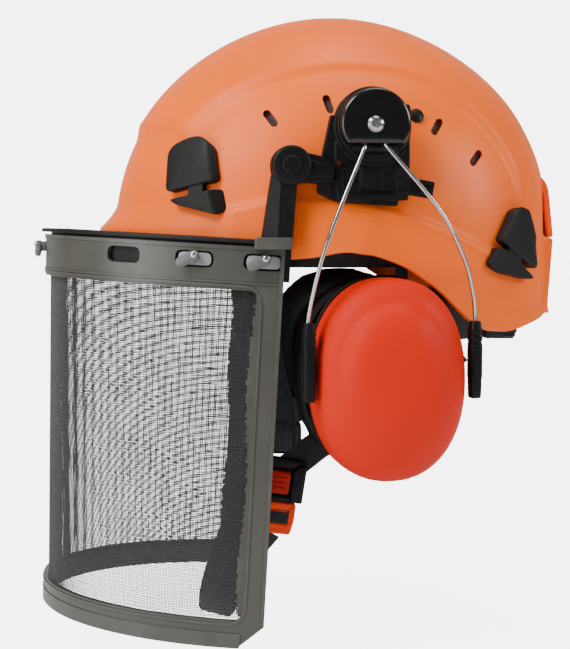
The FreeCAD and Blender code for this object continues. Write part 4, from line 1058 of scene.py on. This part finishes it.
def hub_cap(looks):
    """The glossy cap over the hub, flat along its lower edge."""
    rear, height = HUB_MIDDLE
    cap = rounded(circle(19.2, 60, (rear + 0.4, height + 0.6), -35, 215), 0.6, 3)
    middle = np.array([rear, height + 3])
    rows = []
    for size, level in ((1.0, 0.0), (1.0, 2.7), (0.985, 3.7), (0.955, 4.4), (0.9, 4.85), (0.8, 5.1),
                        (0.6, 5.3), (0.1, 5.3)):
        ring = middle + (cap - middle) * size
        rows.append(np.column_stack([ring, np.full(len(ring), level)]))
    cap_shape = moved(grid(rows, start_cap=True, end_cap=True), on_side(117.0))
    both_sides("hub_cap_piece", cap_shape, "hub", looks["cap"], "cap", "hub_cap", 50)


def hub_screw(looks):
    """The bright screw in the cap, with a cross cut into its head."""
    head = lathe([(0.2, 0), (4.3, 0), (4.4, 0.3), (4.0, 0.6), (3.8, 1.4), (3.2, 1.9), (2.1, 2.2),
                  (0.2, 2.3)], 40)
    place = on_side(121.9, *HUB_MIDDLE)
    cross = slab([(-2.3, -0.5), (2.3, -0.5), (2.3, 0.5), (-2.3, 0.5)], 4, 0.01, 1)
    left, right = both_sides("screw_head", moved(head, place), "hub", looks["steel"], "screw", "hub_screw")
    deep = place @ Matrix.Translation((0, 0, 1.1))
    cutters = [moved(cross, deep @ Matrix.Rotation(math.radians(quarter), 4, "Z")) for quarter in (25, 115)]
    for cutter in cutters:
        carved(left, cutter)
    for cutter in cutters:
        carved(right, mirrored(cutter))


def knuckles(looks):
    """The barrel that the wire ends turn in."""
    profile = [(0.3, -1.6), (2.7, -1.6), (3.2, -1.1), (3.2, 6.4), (2.9, 6.8), (2.9, 14.0), (3.2, 14.4),
               (3.2, 22.1), (2.7, 22.6), (0.3, 22.6)]
    shape = moved(lathe(profile, 32), Matrix(((1, 0, 0, 116.5), (0, 0, 1, 0), (0, -1, 0, 47.8),
                                              (0, 0, 0, 1))))
    both_sides("knuckle_barrel", shape, "arm", looks["arm"], "arm", "wire_knuckle")


# ---------------------------------------------------------------- ear cups
def cup_place():
    return Matrix.Translation(CUP_ORIGIN) @ Matrix.Rotation(CUP_TURN, 4, "Z")


def oval_ring(half_length, half_height, power=2.5, steps=96):
    """A rounded-rectangle ring in (Y, Z)."""
    angles = np.arange(steps) * 2 * math.pi / steps
    c, s = np.cos(angles), np.sin(angles)
    return np.column_stack([half_length * np.sign(c) * np.abs(c) ** (2 / power),
                            half_height * np.sign(s) * np.abs(s) ** (2 / power)])


def ear_cups(looks):
    """The orange cup: its outline is stepped towards the rear and top, and domed elsewhere."""
    stepped = [(1.2, -0.2), (0.2, 0.4), (0.0, 1.6), (0.0, 14.5), (0.6, 19.0), (2.2, 23.0), (4.6, 26.0),
               (7.2, 28.2), (9.0, 29.3), (10.4, 30.6), (11.6, 32.4), (13.4, 34.6), (16.0, 36.6),
               (19.5, 38.4), (24, 39.7), (30, 40.5), (36, 40.9), (41.5, 41)]
    domed = [(1.2, -0.2), (0.2, 0.4), (0.0, 1.6), (0.0, 13.0), (0.8, 18.2), (2.6, 22.4), (5.0, 25.8),
             (7.6, 28.4), (9.6, 30.2), (11.4, 31.7), (13.2, 33.0), (15.4, 34.5), (18.0, 36.0), (21.5, 37.6),
             (25.5, 39.0), (31, 40.1), (36.5, 40.8), (41.5, 41)]
    angles = np.arange(96) * 2 * math.pi / 96
    share = 0.5 + 0.5 * np.cos(angles - math.radians(112))
    share = (smoothstep((share - 0.5) / 0.42))[:, None]
    rows = []
    for (back_a, out_a), (back_b, out_b) in zip(stepped, domed):
        rings = []
        for back in (back_a, back_b):
            power = 2.22 - 0.16 * min(1, back / 36)
            half_length = max(CUP_HALF_LENGTH + 0.9 - back, 0.6)
            half_height = max((CUP_HALF_HEIGHT + 1.7) * (1 - back / (CUP_HALF_LENGTH + 1)), 0.8)
            rings.append(oval_ring(half_length, half_height, power) - (0, 3.6))
        ring = rings[0] * share + rings[1] * (1 - share)
        out = out_a * share + out_b * (1 - share)
        rows.append(np.hstack([out, ring]))
    shell_shape = moved(grid(rows, start_cap=False, end_cap=True), cup_place())
    pieces = both_sides("cup_cover", shell_shape, "cup", looks["cup"], "cup", "cup_shell", 60)
    for piece in pieces:
        subdivided(piece, 60)


def cup_plates(looks):
    """The black base plate behind each cup."""
    rows = []
    for back, out in ((0.6, -3.1), (-0.9, -3.0), (-1.6, -2.4), (-1.7, -0.6), (-1.1, 0.2), (0.5, 0.5),
                      (1.5, 0.4)):
        ring = oval_ring(CUP_HALF_LENGTH - 0.6 - back, CUP_HALF_HEIGHT - 0.2 - back, 2.3) - (0, 2.6)
        rows.append(np.column_stack([np.full(len(ring), out), ring]))
    inner = oval_ring(CUP_HALF_LENGTH - 14, CUP_HALF_HEIGHT - 15, 2.3)
    for out in (0.3, -3.0):
        rows.append(np.column_stack([np.full(len(inner), out), inner]))
    base = moved(grid(rows, closed=True), cup_place())
    both_sides("cup_plate", base, "cup", looks["arm"], "cup", "cup_base", 40)


def cup_foam(looks):
    """The sound-damping pad inside each cup."""
    rows = []
    for size, out in ((0.05, 12.4), (0.5, 12.2), (0.9, 12.2), (0.98, 13), (1.0, 14.5), (0.96, 20),
                      (0.9, 22.2), (0.8, 22.8), (0.4, 23), (0.05, 23)):
        ring = oval_ring(25.5 * size, 34.5 * size, 2.3)
        rows.append(np.column_stack([np.full(len(ring), out), ring]))
    shape = moved(grid(rows, start_cap=True, end_cap=True), cup_place())
    for piece in both_sides("foam_pad", shape, "cup", looks["foam"], "padding", "cup_foam", 60):
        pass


def wires(looks):
    """The two spring wires of each arm, from the knuckle down into the sleeves."""
    parts = []
    for reach, upper in ((-SLEEVE_REACH, WIRE_FRONT), (SLEEVE_REACH, WIRE_REAR)):
        lower = moved(([(SLEEVE_OUT, reach, level) for level in (33, 20, -12)], []), cup_place())[0]
        path = smooth_path(np.vstack([upper, lower]), 2.0)
        parts.append(sweep(path, circle(1.2, 12), (1, 0, 0.01)))
    both_sides("wire_pair", joined(*parts), "arm", looks["steel"], "wire", "wires", 60)


def cushion_shape():
    """The ear cushion: a fat oval ring, flat where it meets the plate."""
    rows = []
    steps = 84
    for a in np.linspace(0, 2 * math.pi, 20, endpoint=False):
        out, flat = math.cos(a), math.sin(a)
        back = 10.5 + 10.2 * out
        level = -11.0 - 7.6 * flat * (1 if flat > 0 else 0.96)
        ring = oval_ring(29.4 + back, 34.4 + back, 2.3, steps)
        rows.append(np.column_stack([np.full(steps, level), ring]))
    return grid(rows, closed=True)


def inflate(piece, pressure=4.0, limit=1.6, frames=20, voxel=4.5):
    """Blows a padded piece up with cloth pressure, moves no point further than limit, and smooths it."""
    remesh = piece.modifiers.new("even", "REMESH")
    remesh.mode = "VOXEL"
    remesh.voxel_size = voxel * MM
    applied(piece)
    count = len(piece.data.vertices)
    start = np.zeros(count * 3)
    piece.data.vertices.foreach_get("co", start)
    cloth_sim = piece.modifiers.new("puff", "CLOTH")
    settings = cloth_sim.settings
    settings.use_pressure = True
    settings.uniform_pressure_force = pressure
    settings.effector_weights.gravity = 0
    settings.quality = 4
    cloth_sim.point_cache.frame_start = 1
    cloth_sim.point_cache.frame_end = frames
    scene = bpy.context.scene
    for frame_number in range(1, frames + 1):
        scene.frame_set(frame_number)
    graph = bpy.context.evaluated_depsgraph_get()
    mesh = piece.evaluated_get(graph).to_mesh()
    end = np.zeros(count * 3)
    mesh.vertices.foreach_get("co", end)
    piece.evaluated_get(graph).to_mesh_clear()
    piece.modifiers.clear()
    shift = (end - start).reshape(-1, 3)
    length = np.linalg.norm(shift, axis=1)[:, None] + 1e-9
    shift *= np.minimum(1, limit * MM / length)
    piece.data.vertices.foreach_set("co", (start.reshape(-1, 3) + shift).ravel())
    scene.frame_set(1)
    smoothing = piece.modifiers.new("smooth", "SMOOTH")
    smoothing.iterations = 2
    subdivided(piece, 70)


def ear_cushions(looks):
    for side in ("left", "right"):
        shape = moved(cushion_shape(), cup_place())
        piece = made(f"{side}_cushion", shape if side == "left" else mirrored(shape), 70)
        inflate(piece)
        set_up(piece, f"{side}_cup", looks["cushion"], "cushion", f"{side}_ear_cushion")
        path = np.column_stack([np.full(96, -4.6), oval_ring(45.5, 50.5, 2.3, 96)])
        seam_shape = moved(sweep(path, circle(0.8, 8), (1, 0, 0), True), cup_place())
        piping = made(f"{side}_cushion_piping", seam_shape if side == "left" else mirrored(seam_shape), 70)
        set_up(piping, f"{side}_cup", looks["cushion"], "cushion")


def sleeves(looks):
    """The two sliding sleeves of each cup, with end collars and grip steps."""
    parts = []
    for rear in (-SLEEVE_REACH, SLEEVE_REACH):
        outline = rounded_box(-3.9, 3.9, -3.3, 3.3, 1.6, 4)
        rows = []
        for level, size in ((-14, 0.72), (-13.6, 0.86), (-12.6, 0.92), (-4, 0.97), (-2, 1.05), (16, 1.05),
                            (17, 0.96), (18, 0.96), (18.6, 1.03), (20.4, 1.03), (21, 0.95), (22, 0.95),
                            (22.6, 1.03), (24.4, 1.03), (25, 0.92), (28.4, 0.82), (29, 0.7)):
            ring = outline * size
            levels = np.full(len(ring), level)
            rows.append(np.column_stack([SLEEVE_OUT + ring[:, 0], rear + ring[:, 1], levels]))
        parts.append(grid(rows, start_cap=True, end_cap=True))
        clip = slab(rounded_box(-2.4, 2.4, -4, 12, 1, 4), 1.2, 0.4)
        parts.append(moved(clip, on_side(22.7, rear, 1)))
    both_sides("sleeve_pieces", moved(joined(*parts), cup_place()), "sleeves", looks["arm"], "arm",
               "sleeves", 45)


# ---------------------------------------------------------------- harness
def ribbed_band(path, width, thickness, across, rise=0.28):
    """Woven webbing: a flat band with cross ribs and rounded edges."""
    path = np.asarray(path, float)
    half, thick = width / 2, thickness / 2
    profiles = []
    for index in range(len(path)):
        high = thick * (1 + rise * (0.5 if index % 2 else -0.5))
        edge = half - (0.12 if index % 2 else 0.0)
        profiles.append([(-edge, 0), (-edge + 0.35, high * 0.8), (-edge + 1.0, high),
                         (-half * 0.45, high * 1.04), (0, high), (half * 0.45, high * 1.04),
                         (edge - 1.0, high), (edge - 0.35, high * 0.8), (edge, 0),
                         (edge - 0.35, -high * 0.8), (edge - 1.0, -high), (0, -high), (-edge + 1.0, -high),
                         (-edge + 0.35, -high * 0.8)])
    return sweep(path, np.array(profiles), across)


def webbing(looks):
    """The two straps on each side and the strap divider that gathers them."""
    front_line = smooth_path([(84.5, -52, 2), (80, -50, -30), (75, -44, -75), (75.1, -37.4, -102),
                              (75.1, -37.2, -125)], 0.9)
    front = ribbed_band(front_line, 18, 1.7, (0.2, 1, 0))
    both_sides("front_strap", front, "helmet", looks["webbing"], "webbing")
    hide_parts("front_webbing")
    rear_line = smooth_path([(68, 68, -66), (70, 32, -92), (75, -5, -113.5), (78.6, -22, -124.5),
                             (79.4, -33, -133)],
                            0.9)
    rear = ribbed_band(rear_line, 17, 1.6, (-0.2, 0.5, 1))
    both_sides("rear_strap", rear, "helmet", looks["webbing"], "webbing")
    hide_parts("rear_webbing")
    ladder = [slab(rounded_box(-13, 13, -9, 9, 3, 5), 4.6, 1.0)]
    for bar in (-9.5, -5.5, -1.5, 2.5, 6.5, 10.5):
        rung = slab(rounded_box(bar - 0.9, bar + 0.9, -7, 7, 0.6, 3), 1.2, 0.4)
        ladder.append(moved(rung, Matrix.Translation((0, 0, 4.2))))
    divider = moved(joined(*ladder), on_side(72.4, -38.2, -115.5))
    both_sides("divider", divider, "helmet", looks["suspension"], "suspension")
    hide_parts("strap_dividers")


def chin_strap(looks):
    """The strap under the chin, from the buckle's tongue to the other side."""
    line = smooth_path([(74.5, -45, -170), (68.5, -57, -187), (52, -67, -213), (28, -72, -229),
                        (0, -74, -234), (-28, -72, -229), (-52, -65, -213), (-68.5, -53, -187),
                        (-72, -43, -155), (-76, -36, -127)], 0.95)
    along = np.gradient(line, axis=0)
    across = np.cross(along, line - np.array([0, -40, -120]))
    across /= np.linalg.norm(across, axis=1)[:, None]
    across *= np.where(across[:, 1:2] < 0, -1, 1)
    band = made("chin_band", ribbed_band(line, 18, 1.7, across), 60)
    set_up(band, BODY_OF["chin_strap"], looks["webbing"], "webbing", "chin_strap")


def buckle_place():
    axis = Vector((1, -0.35, 0)).normalized()
    middle = Matrix.Translation((BUCKLE_ORIGIN[0], BUCKLE_ORIGIN[1] - 2, BUCKLE_ORIGIN[2]))
    return middle @ Matrix.Rotation(math.radians(-9), 4, axis)


def on_buckle(outline, low, high, bevel=0.6, steps=3):
    """A plate in the buckle's own frame: outline in (Y, Z), thickened along X."""
    return moved(side_plate(outline, low, high, bevel, steps), buckle_place())


def buckle(looks):
    """Side-release buckle: a black body with cheeks, a red button and an orange tongue."""
    body = [on_buckle(rounded_box(-15, 15, -11.5, 11.5, 3, 5), -4.8, 2.2, 1.0)]
    for side in (-1, 1):
        cheek = np.array([(7.2, -11), (14.8, -11.2), (14.8, 11.2), (11, 11.4), (7.2, 8)]) * (side, 1)
        body.append(on_buckle(rounded(cheek, 1.2, 4), 1.5, 6.2, 1.2))
    body.append(on_buckle(rounded([(-14, 8), (14, 8), (13, 13.6), (-13, 13.6)], 1.6, 4), -2.6, 4.6, 1.0))
    body.append(on_buckle(rounded([(-8, -11.3), (8, -11.3), (8, -8), (-8, -8)], 0.8, 4), 1.8, 5.0, 0.7))
    set_up(made("buckle_frame", joined(*body)), BODY_OF["buckle_body"], looks["arm"], "clip", "buckle_body")
    button = [on_buckle(rounded_box(-6, 6, -6.6, 6.6, 2, 5), 4.25, 7.2, 1.1)]
    for level in (-3, 0, 3):
        button.append(on_buckle(rounded_box(-4, 4, level - 0.5, level + 0.5, 0.4, 3), 6.8, 7.8, 0.35))
    set_up(made("buckle_press", joined(*button)), "buckle_button", looks["button"], "button", "buckle_button")
    tongue = [on_buckle(rounded([(-12, -12), (12, -12), (12.3, -22), (11, -30.9), (-11, -30.9),
                                 (-12.3, -22)], 2, 5),
                        -3.4, 2.8, 1.0)]
    tongue.append(on_buckle(rounded([(-8.5, -12), (8.5, -12), (7.5, -17.5), (-7.5, -17.5)], 1, 4), 2.2, 4.2,
                            0.8))
    loop = [on_buckle(rounded([(-8.6, -16.2), (8.6, -16.2), (8.6, -24.4), (-8.6, -24.4)], 1, 4), 0.5, 3.9,
                      0.8)]
    for level in np.arange(-23.6, -16.4, 1.2):
        loop.append(on_buckle(rounded_box(-8.6, 8.6, level - 0.35, level + 0.35, 0.3, 3), 3.4, 4.3, 0.25))
    set_up(made("tongue_strap_loop", joined(*loop)), "buckle_tongue", looks["webbing"], "webbing")
    tongue.append(on_buckle(rounded([(-9.8, -24.5), (9.8, -24.5), (9.8, -27.5), (-9.8, -27.5)], 1, 4), 2.4,
                            3.8, 0.6))
    set_up(made("buckle_tongue_piece", joined(*tongue)), "buckle_tongue", looks["tongue"], "tongue",
           "buckle_tongue")


# ---------------------------------------------------------------- inside the shell
def arc_pad(half_width, half_length, thickness, low, high, start, end, steps=72):
    """A soft pad following an oval, from one angle to another, with rounded edges."""
    rows = []
    middle = (low + high) / 2
    for index, angle in enumerate(np.radians(np.linspace(start, end, steps))):
        end_pinch = min(1.0, 0.35 + min(index, steps - 1 - index) * 0.3)
        loop = []
        for a in np.linspace(0, 2 * math.pi, 24, endpoint=False):
            c, s = math.cos(a), math.sin(a)
            depth = thickness / 2 * (1 - math.copysign(abs(c) ** 0.8, c)) * end_pinch
            level = middle + (high - low) / 2 * math.copysign(abs(s) ** 0.55, s) * (0.9 + 0.1 * end_pinch)
            loop.append(((half_width - depth) * math.cos(angle), (half_length - depth) * math.sin(angle),
                         level))
        rows.append(loop)
    return grid(rows, start_cap=True, end_cap=True)


def pads(looks):
    """The brow, nape and crown pads."""
    brow = made("brow_padding", arc_pad(79.5, 98.5, 6, -13, 11, 214, 326), 70)
    nape = made("nape_padding", arc_pad(73.5, 91.5, 6, -58, -38, 46, 134), 70)
    ring = np.array([(math.cos(a), math.sin(a)) for a in np.linspace(0, 2 * math.pi, 64, endpoint=False)])
    ring = np.sign(ring) * np.abs(ring) ** 0.8
    crown_rows = []
    for size, drop in ((0.02, 0), (0.3, 0), (0.6, 0), (0.85, 0), (0.96, 0.9), (1.0, 3.0), (0.96, 5.1),
                       (0.85, 6), (0.6, 6), (0.3, 6), (0.02, 6)):
        x, y = ring[:, 0] * 29.5 * size, ring[:, 1] * 39.5 * size
        radii = (87.8 - drop, 103.6 - drop, 99.8 - drop)
        z = radii[2] * np.sqrt(1 - (x / radii[0]) ** 2 - (y / radii[1]) ** 2)
        crown_rows.append(np.column_stack([x, y, z]))
    crown = made("crown_padding", grid(crown_rows, start_cap=True, end_cap=True), 70)
    for piece, node in ((brow, "brow_pad"), (nape, "nape_pad"), (crown, "crown_pad")):
        inflate(piece, 3.0, 0.35, 12, 3.0)
        set_up(piece, "helmet", looks["lining"], "padding", node)


def crown_straps(looks):
    """The two webbing straps that cross over the head."""
    for name, half_span, rise, lengthwise in (("lengthwise", 114, 108.8, True),
                                              ("crosswise", 90, 105.8, False)):
        low = math.asin(34 / rise)
        turn = np.linspace(low, math.pi - low, 260)
        reach, height = half_span * np.cos(turn), rise * np.sin(turn)
        if lengthwise:
            path, across = np.column_stack([reach * 0, reach, height]), (1, 0, 0)
        else:
            path, across = np.column_stack([reach, reach * 0, height]), (0, 1, 0)
        band = made(f"{name}_webbing", ribbed_band(path, 22, 1.5, across), 60)
        set_up(band, "helmet", looks["strap"], "webbing", f"{name}_crown_strap")


def carried_over(looks):
    """Materials for the CAD pieces that are shown as they are."""
    plain = {"headband": "suspension", "nape_cradle": "suspension", "fit_wheel_housing": "suspension",
             "fit_wheel": "clip", "fit_pinion": "carrier", "left_rack": "suspension",
             "right_rack": "suspension", "suspension_clips": "suspension"}
    for name, look in plain.items():
        piece = FRAME["nodes"][name]
        piece.data.materials.clear()
        piece.data.materials.append(looks[look])


# ---------------------------------------------------------------- stage
def studio():
    """A pale sweep of floor and wall, the lights and the camera."""
    profile = [(1.6, FLOOR_LEVEL), (-1.2, FLOOR_LEVEL)]
    for a in np.linspace(0, math.pi / 2, 12):
        profile.append((-1.2 - 0.5 * math.sin(a), FLOOR_LEVEL + 0.5 * (1 - math.cos(a))))
    profile.append((-1.7, 2.6))
    rows = [[(x / MM, y / MM, z / MM) for y in (-2.6, 2.4)] for x, z in profile]
    floor = made("studio_floor", grid(rows, round_rows=False), 60)
    look = Look("studio_paper")
    fibres = look.noise(60, 4)
    look.link(look.mixed(look.between(fibres, 0, 1), (0.93, 0.93, 0.93), (0.96, 0.96, 0.96)),
              look.shader.inputs["Base Color"])
    look.bumps([(look.noise(800, 3), 0.05, 0.1)])
    look.set(Roughness=0.9)
    seen = look.add("ShaderNodeLightPath").outputs["Is Camera Ray"]
    look.link(look.times(seen, FLOOR_GLOW), look.shader.inputs["Emission Strength"])
    look.set(Emission_Color=(1, 1, 1, 1))
    floor.data.materials.append(look.material)
    lights()
    camera()


def lights():
    """A dim white surround and four round soft lamps."""
    world = bpy.data.worlds.new("studio")
    world.use_nodes = True
    world.node_tree.nodes["Background"].inputs["Color"].default_value = (1, 1, 1, 1)
    world.node_tree.nodes["Background"].inputs["Strength"].default_value = 0.2
    bpy.context.scene.world = world
    for name, place, size, power in (("key", (0.75, -0.95, 1.05), 0.7, 24),
                                     ("top", (0.1, 0.15, 1.3), 0.9, 9), ("rear", (0.5, 1.2, 0.5), 0.6, 10),
                                     ("front", (0.75, -1.2, 0.12), 0.8, 8)):
        lamp = bpy.data.lights.new(name, "AREA")
        lamp.shape = "DISK"
        lamp.size = size
        lamp.energy = power
        light = bpy.data.objects.new(name, lamp)
        light.location = place
        light.rotation_euler = (-Vector(place)).to_track_quat("-Z", "Y").to_euler()
        bpy.context.scene.collection.objects.link(light)


def camera():
    """The camera at the photograph's viewing angle."""
    lens = bpy.data.cameras.new("camera")
    lens.lens = CAMERA_LENS
    lens.sensor_width = 36
    holder = bpy.data.objects.new("camera", lens)
    holder.location = CAMERA_PLACE
    azimuth, pitch = CAMERA_AZIMUTH, CAMERA_PITCH
    ahead = Vector((-math.cos(azimuth) * math.cos(pitch), math.sin(azimuth) * math.cos(pitch),
                    -math.sin(pitch)))
    holder.rotation_euler = ahead.to_track_quat("-Z", "Y").to_euler()
    bpy.context.scene.collection.objects.link(holder)
    bpy.context.scene.camera = holder


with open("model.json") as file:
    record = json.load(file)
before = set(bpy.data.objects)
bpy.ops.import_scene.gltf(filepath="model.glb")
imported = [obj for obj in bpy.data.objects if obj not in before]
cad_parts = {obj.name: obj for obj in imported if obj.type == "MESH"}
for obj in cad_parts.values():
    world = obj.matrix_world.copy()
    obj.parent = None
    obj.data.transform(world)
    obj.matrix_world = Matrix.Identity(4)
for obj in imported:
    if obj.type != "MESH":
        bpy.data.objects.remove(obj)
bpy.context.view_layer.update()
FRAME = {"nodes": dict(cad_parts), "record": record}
BODY_OF = {node: body for body, nodes in FRAME["record"]["behaviour"]["bodies"].items() for node in nodes}
LOOKS = all_looks()
for build_part in (shell, vent_shade_nets, vent_plugs, lamp_clips, rear_hook, visor_frame, visor_mesh,
                   visor_carrier, turn_locks, visor_pivot, mount_bar, bracket, hub, hub_cap, hub_screw,
                   knuckles, wires, ear_cups, cup_plates, cup_foam, ear_cushions, sleeves, webbing,
                   chin_strap, buckle, pads, crown_straps, carried_over):
    build_part(LOOKS)
studio()
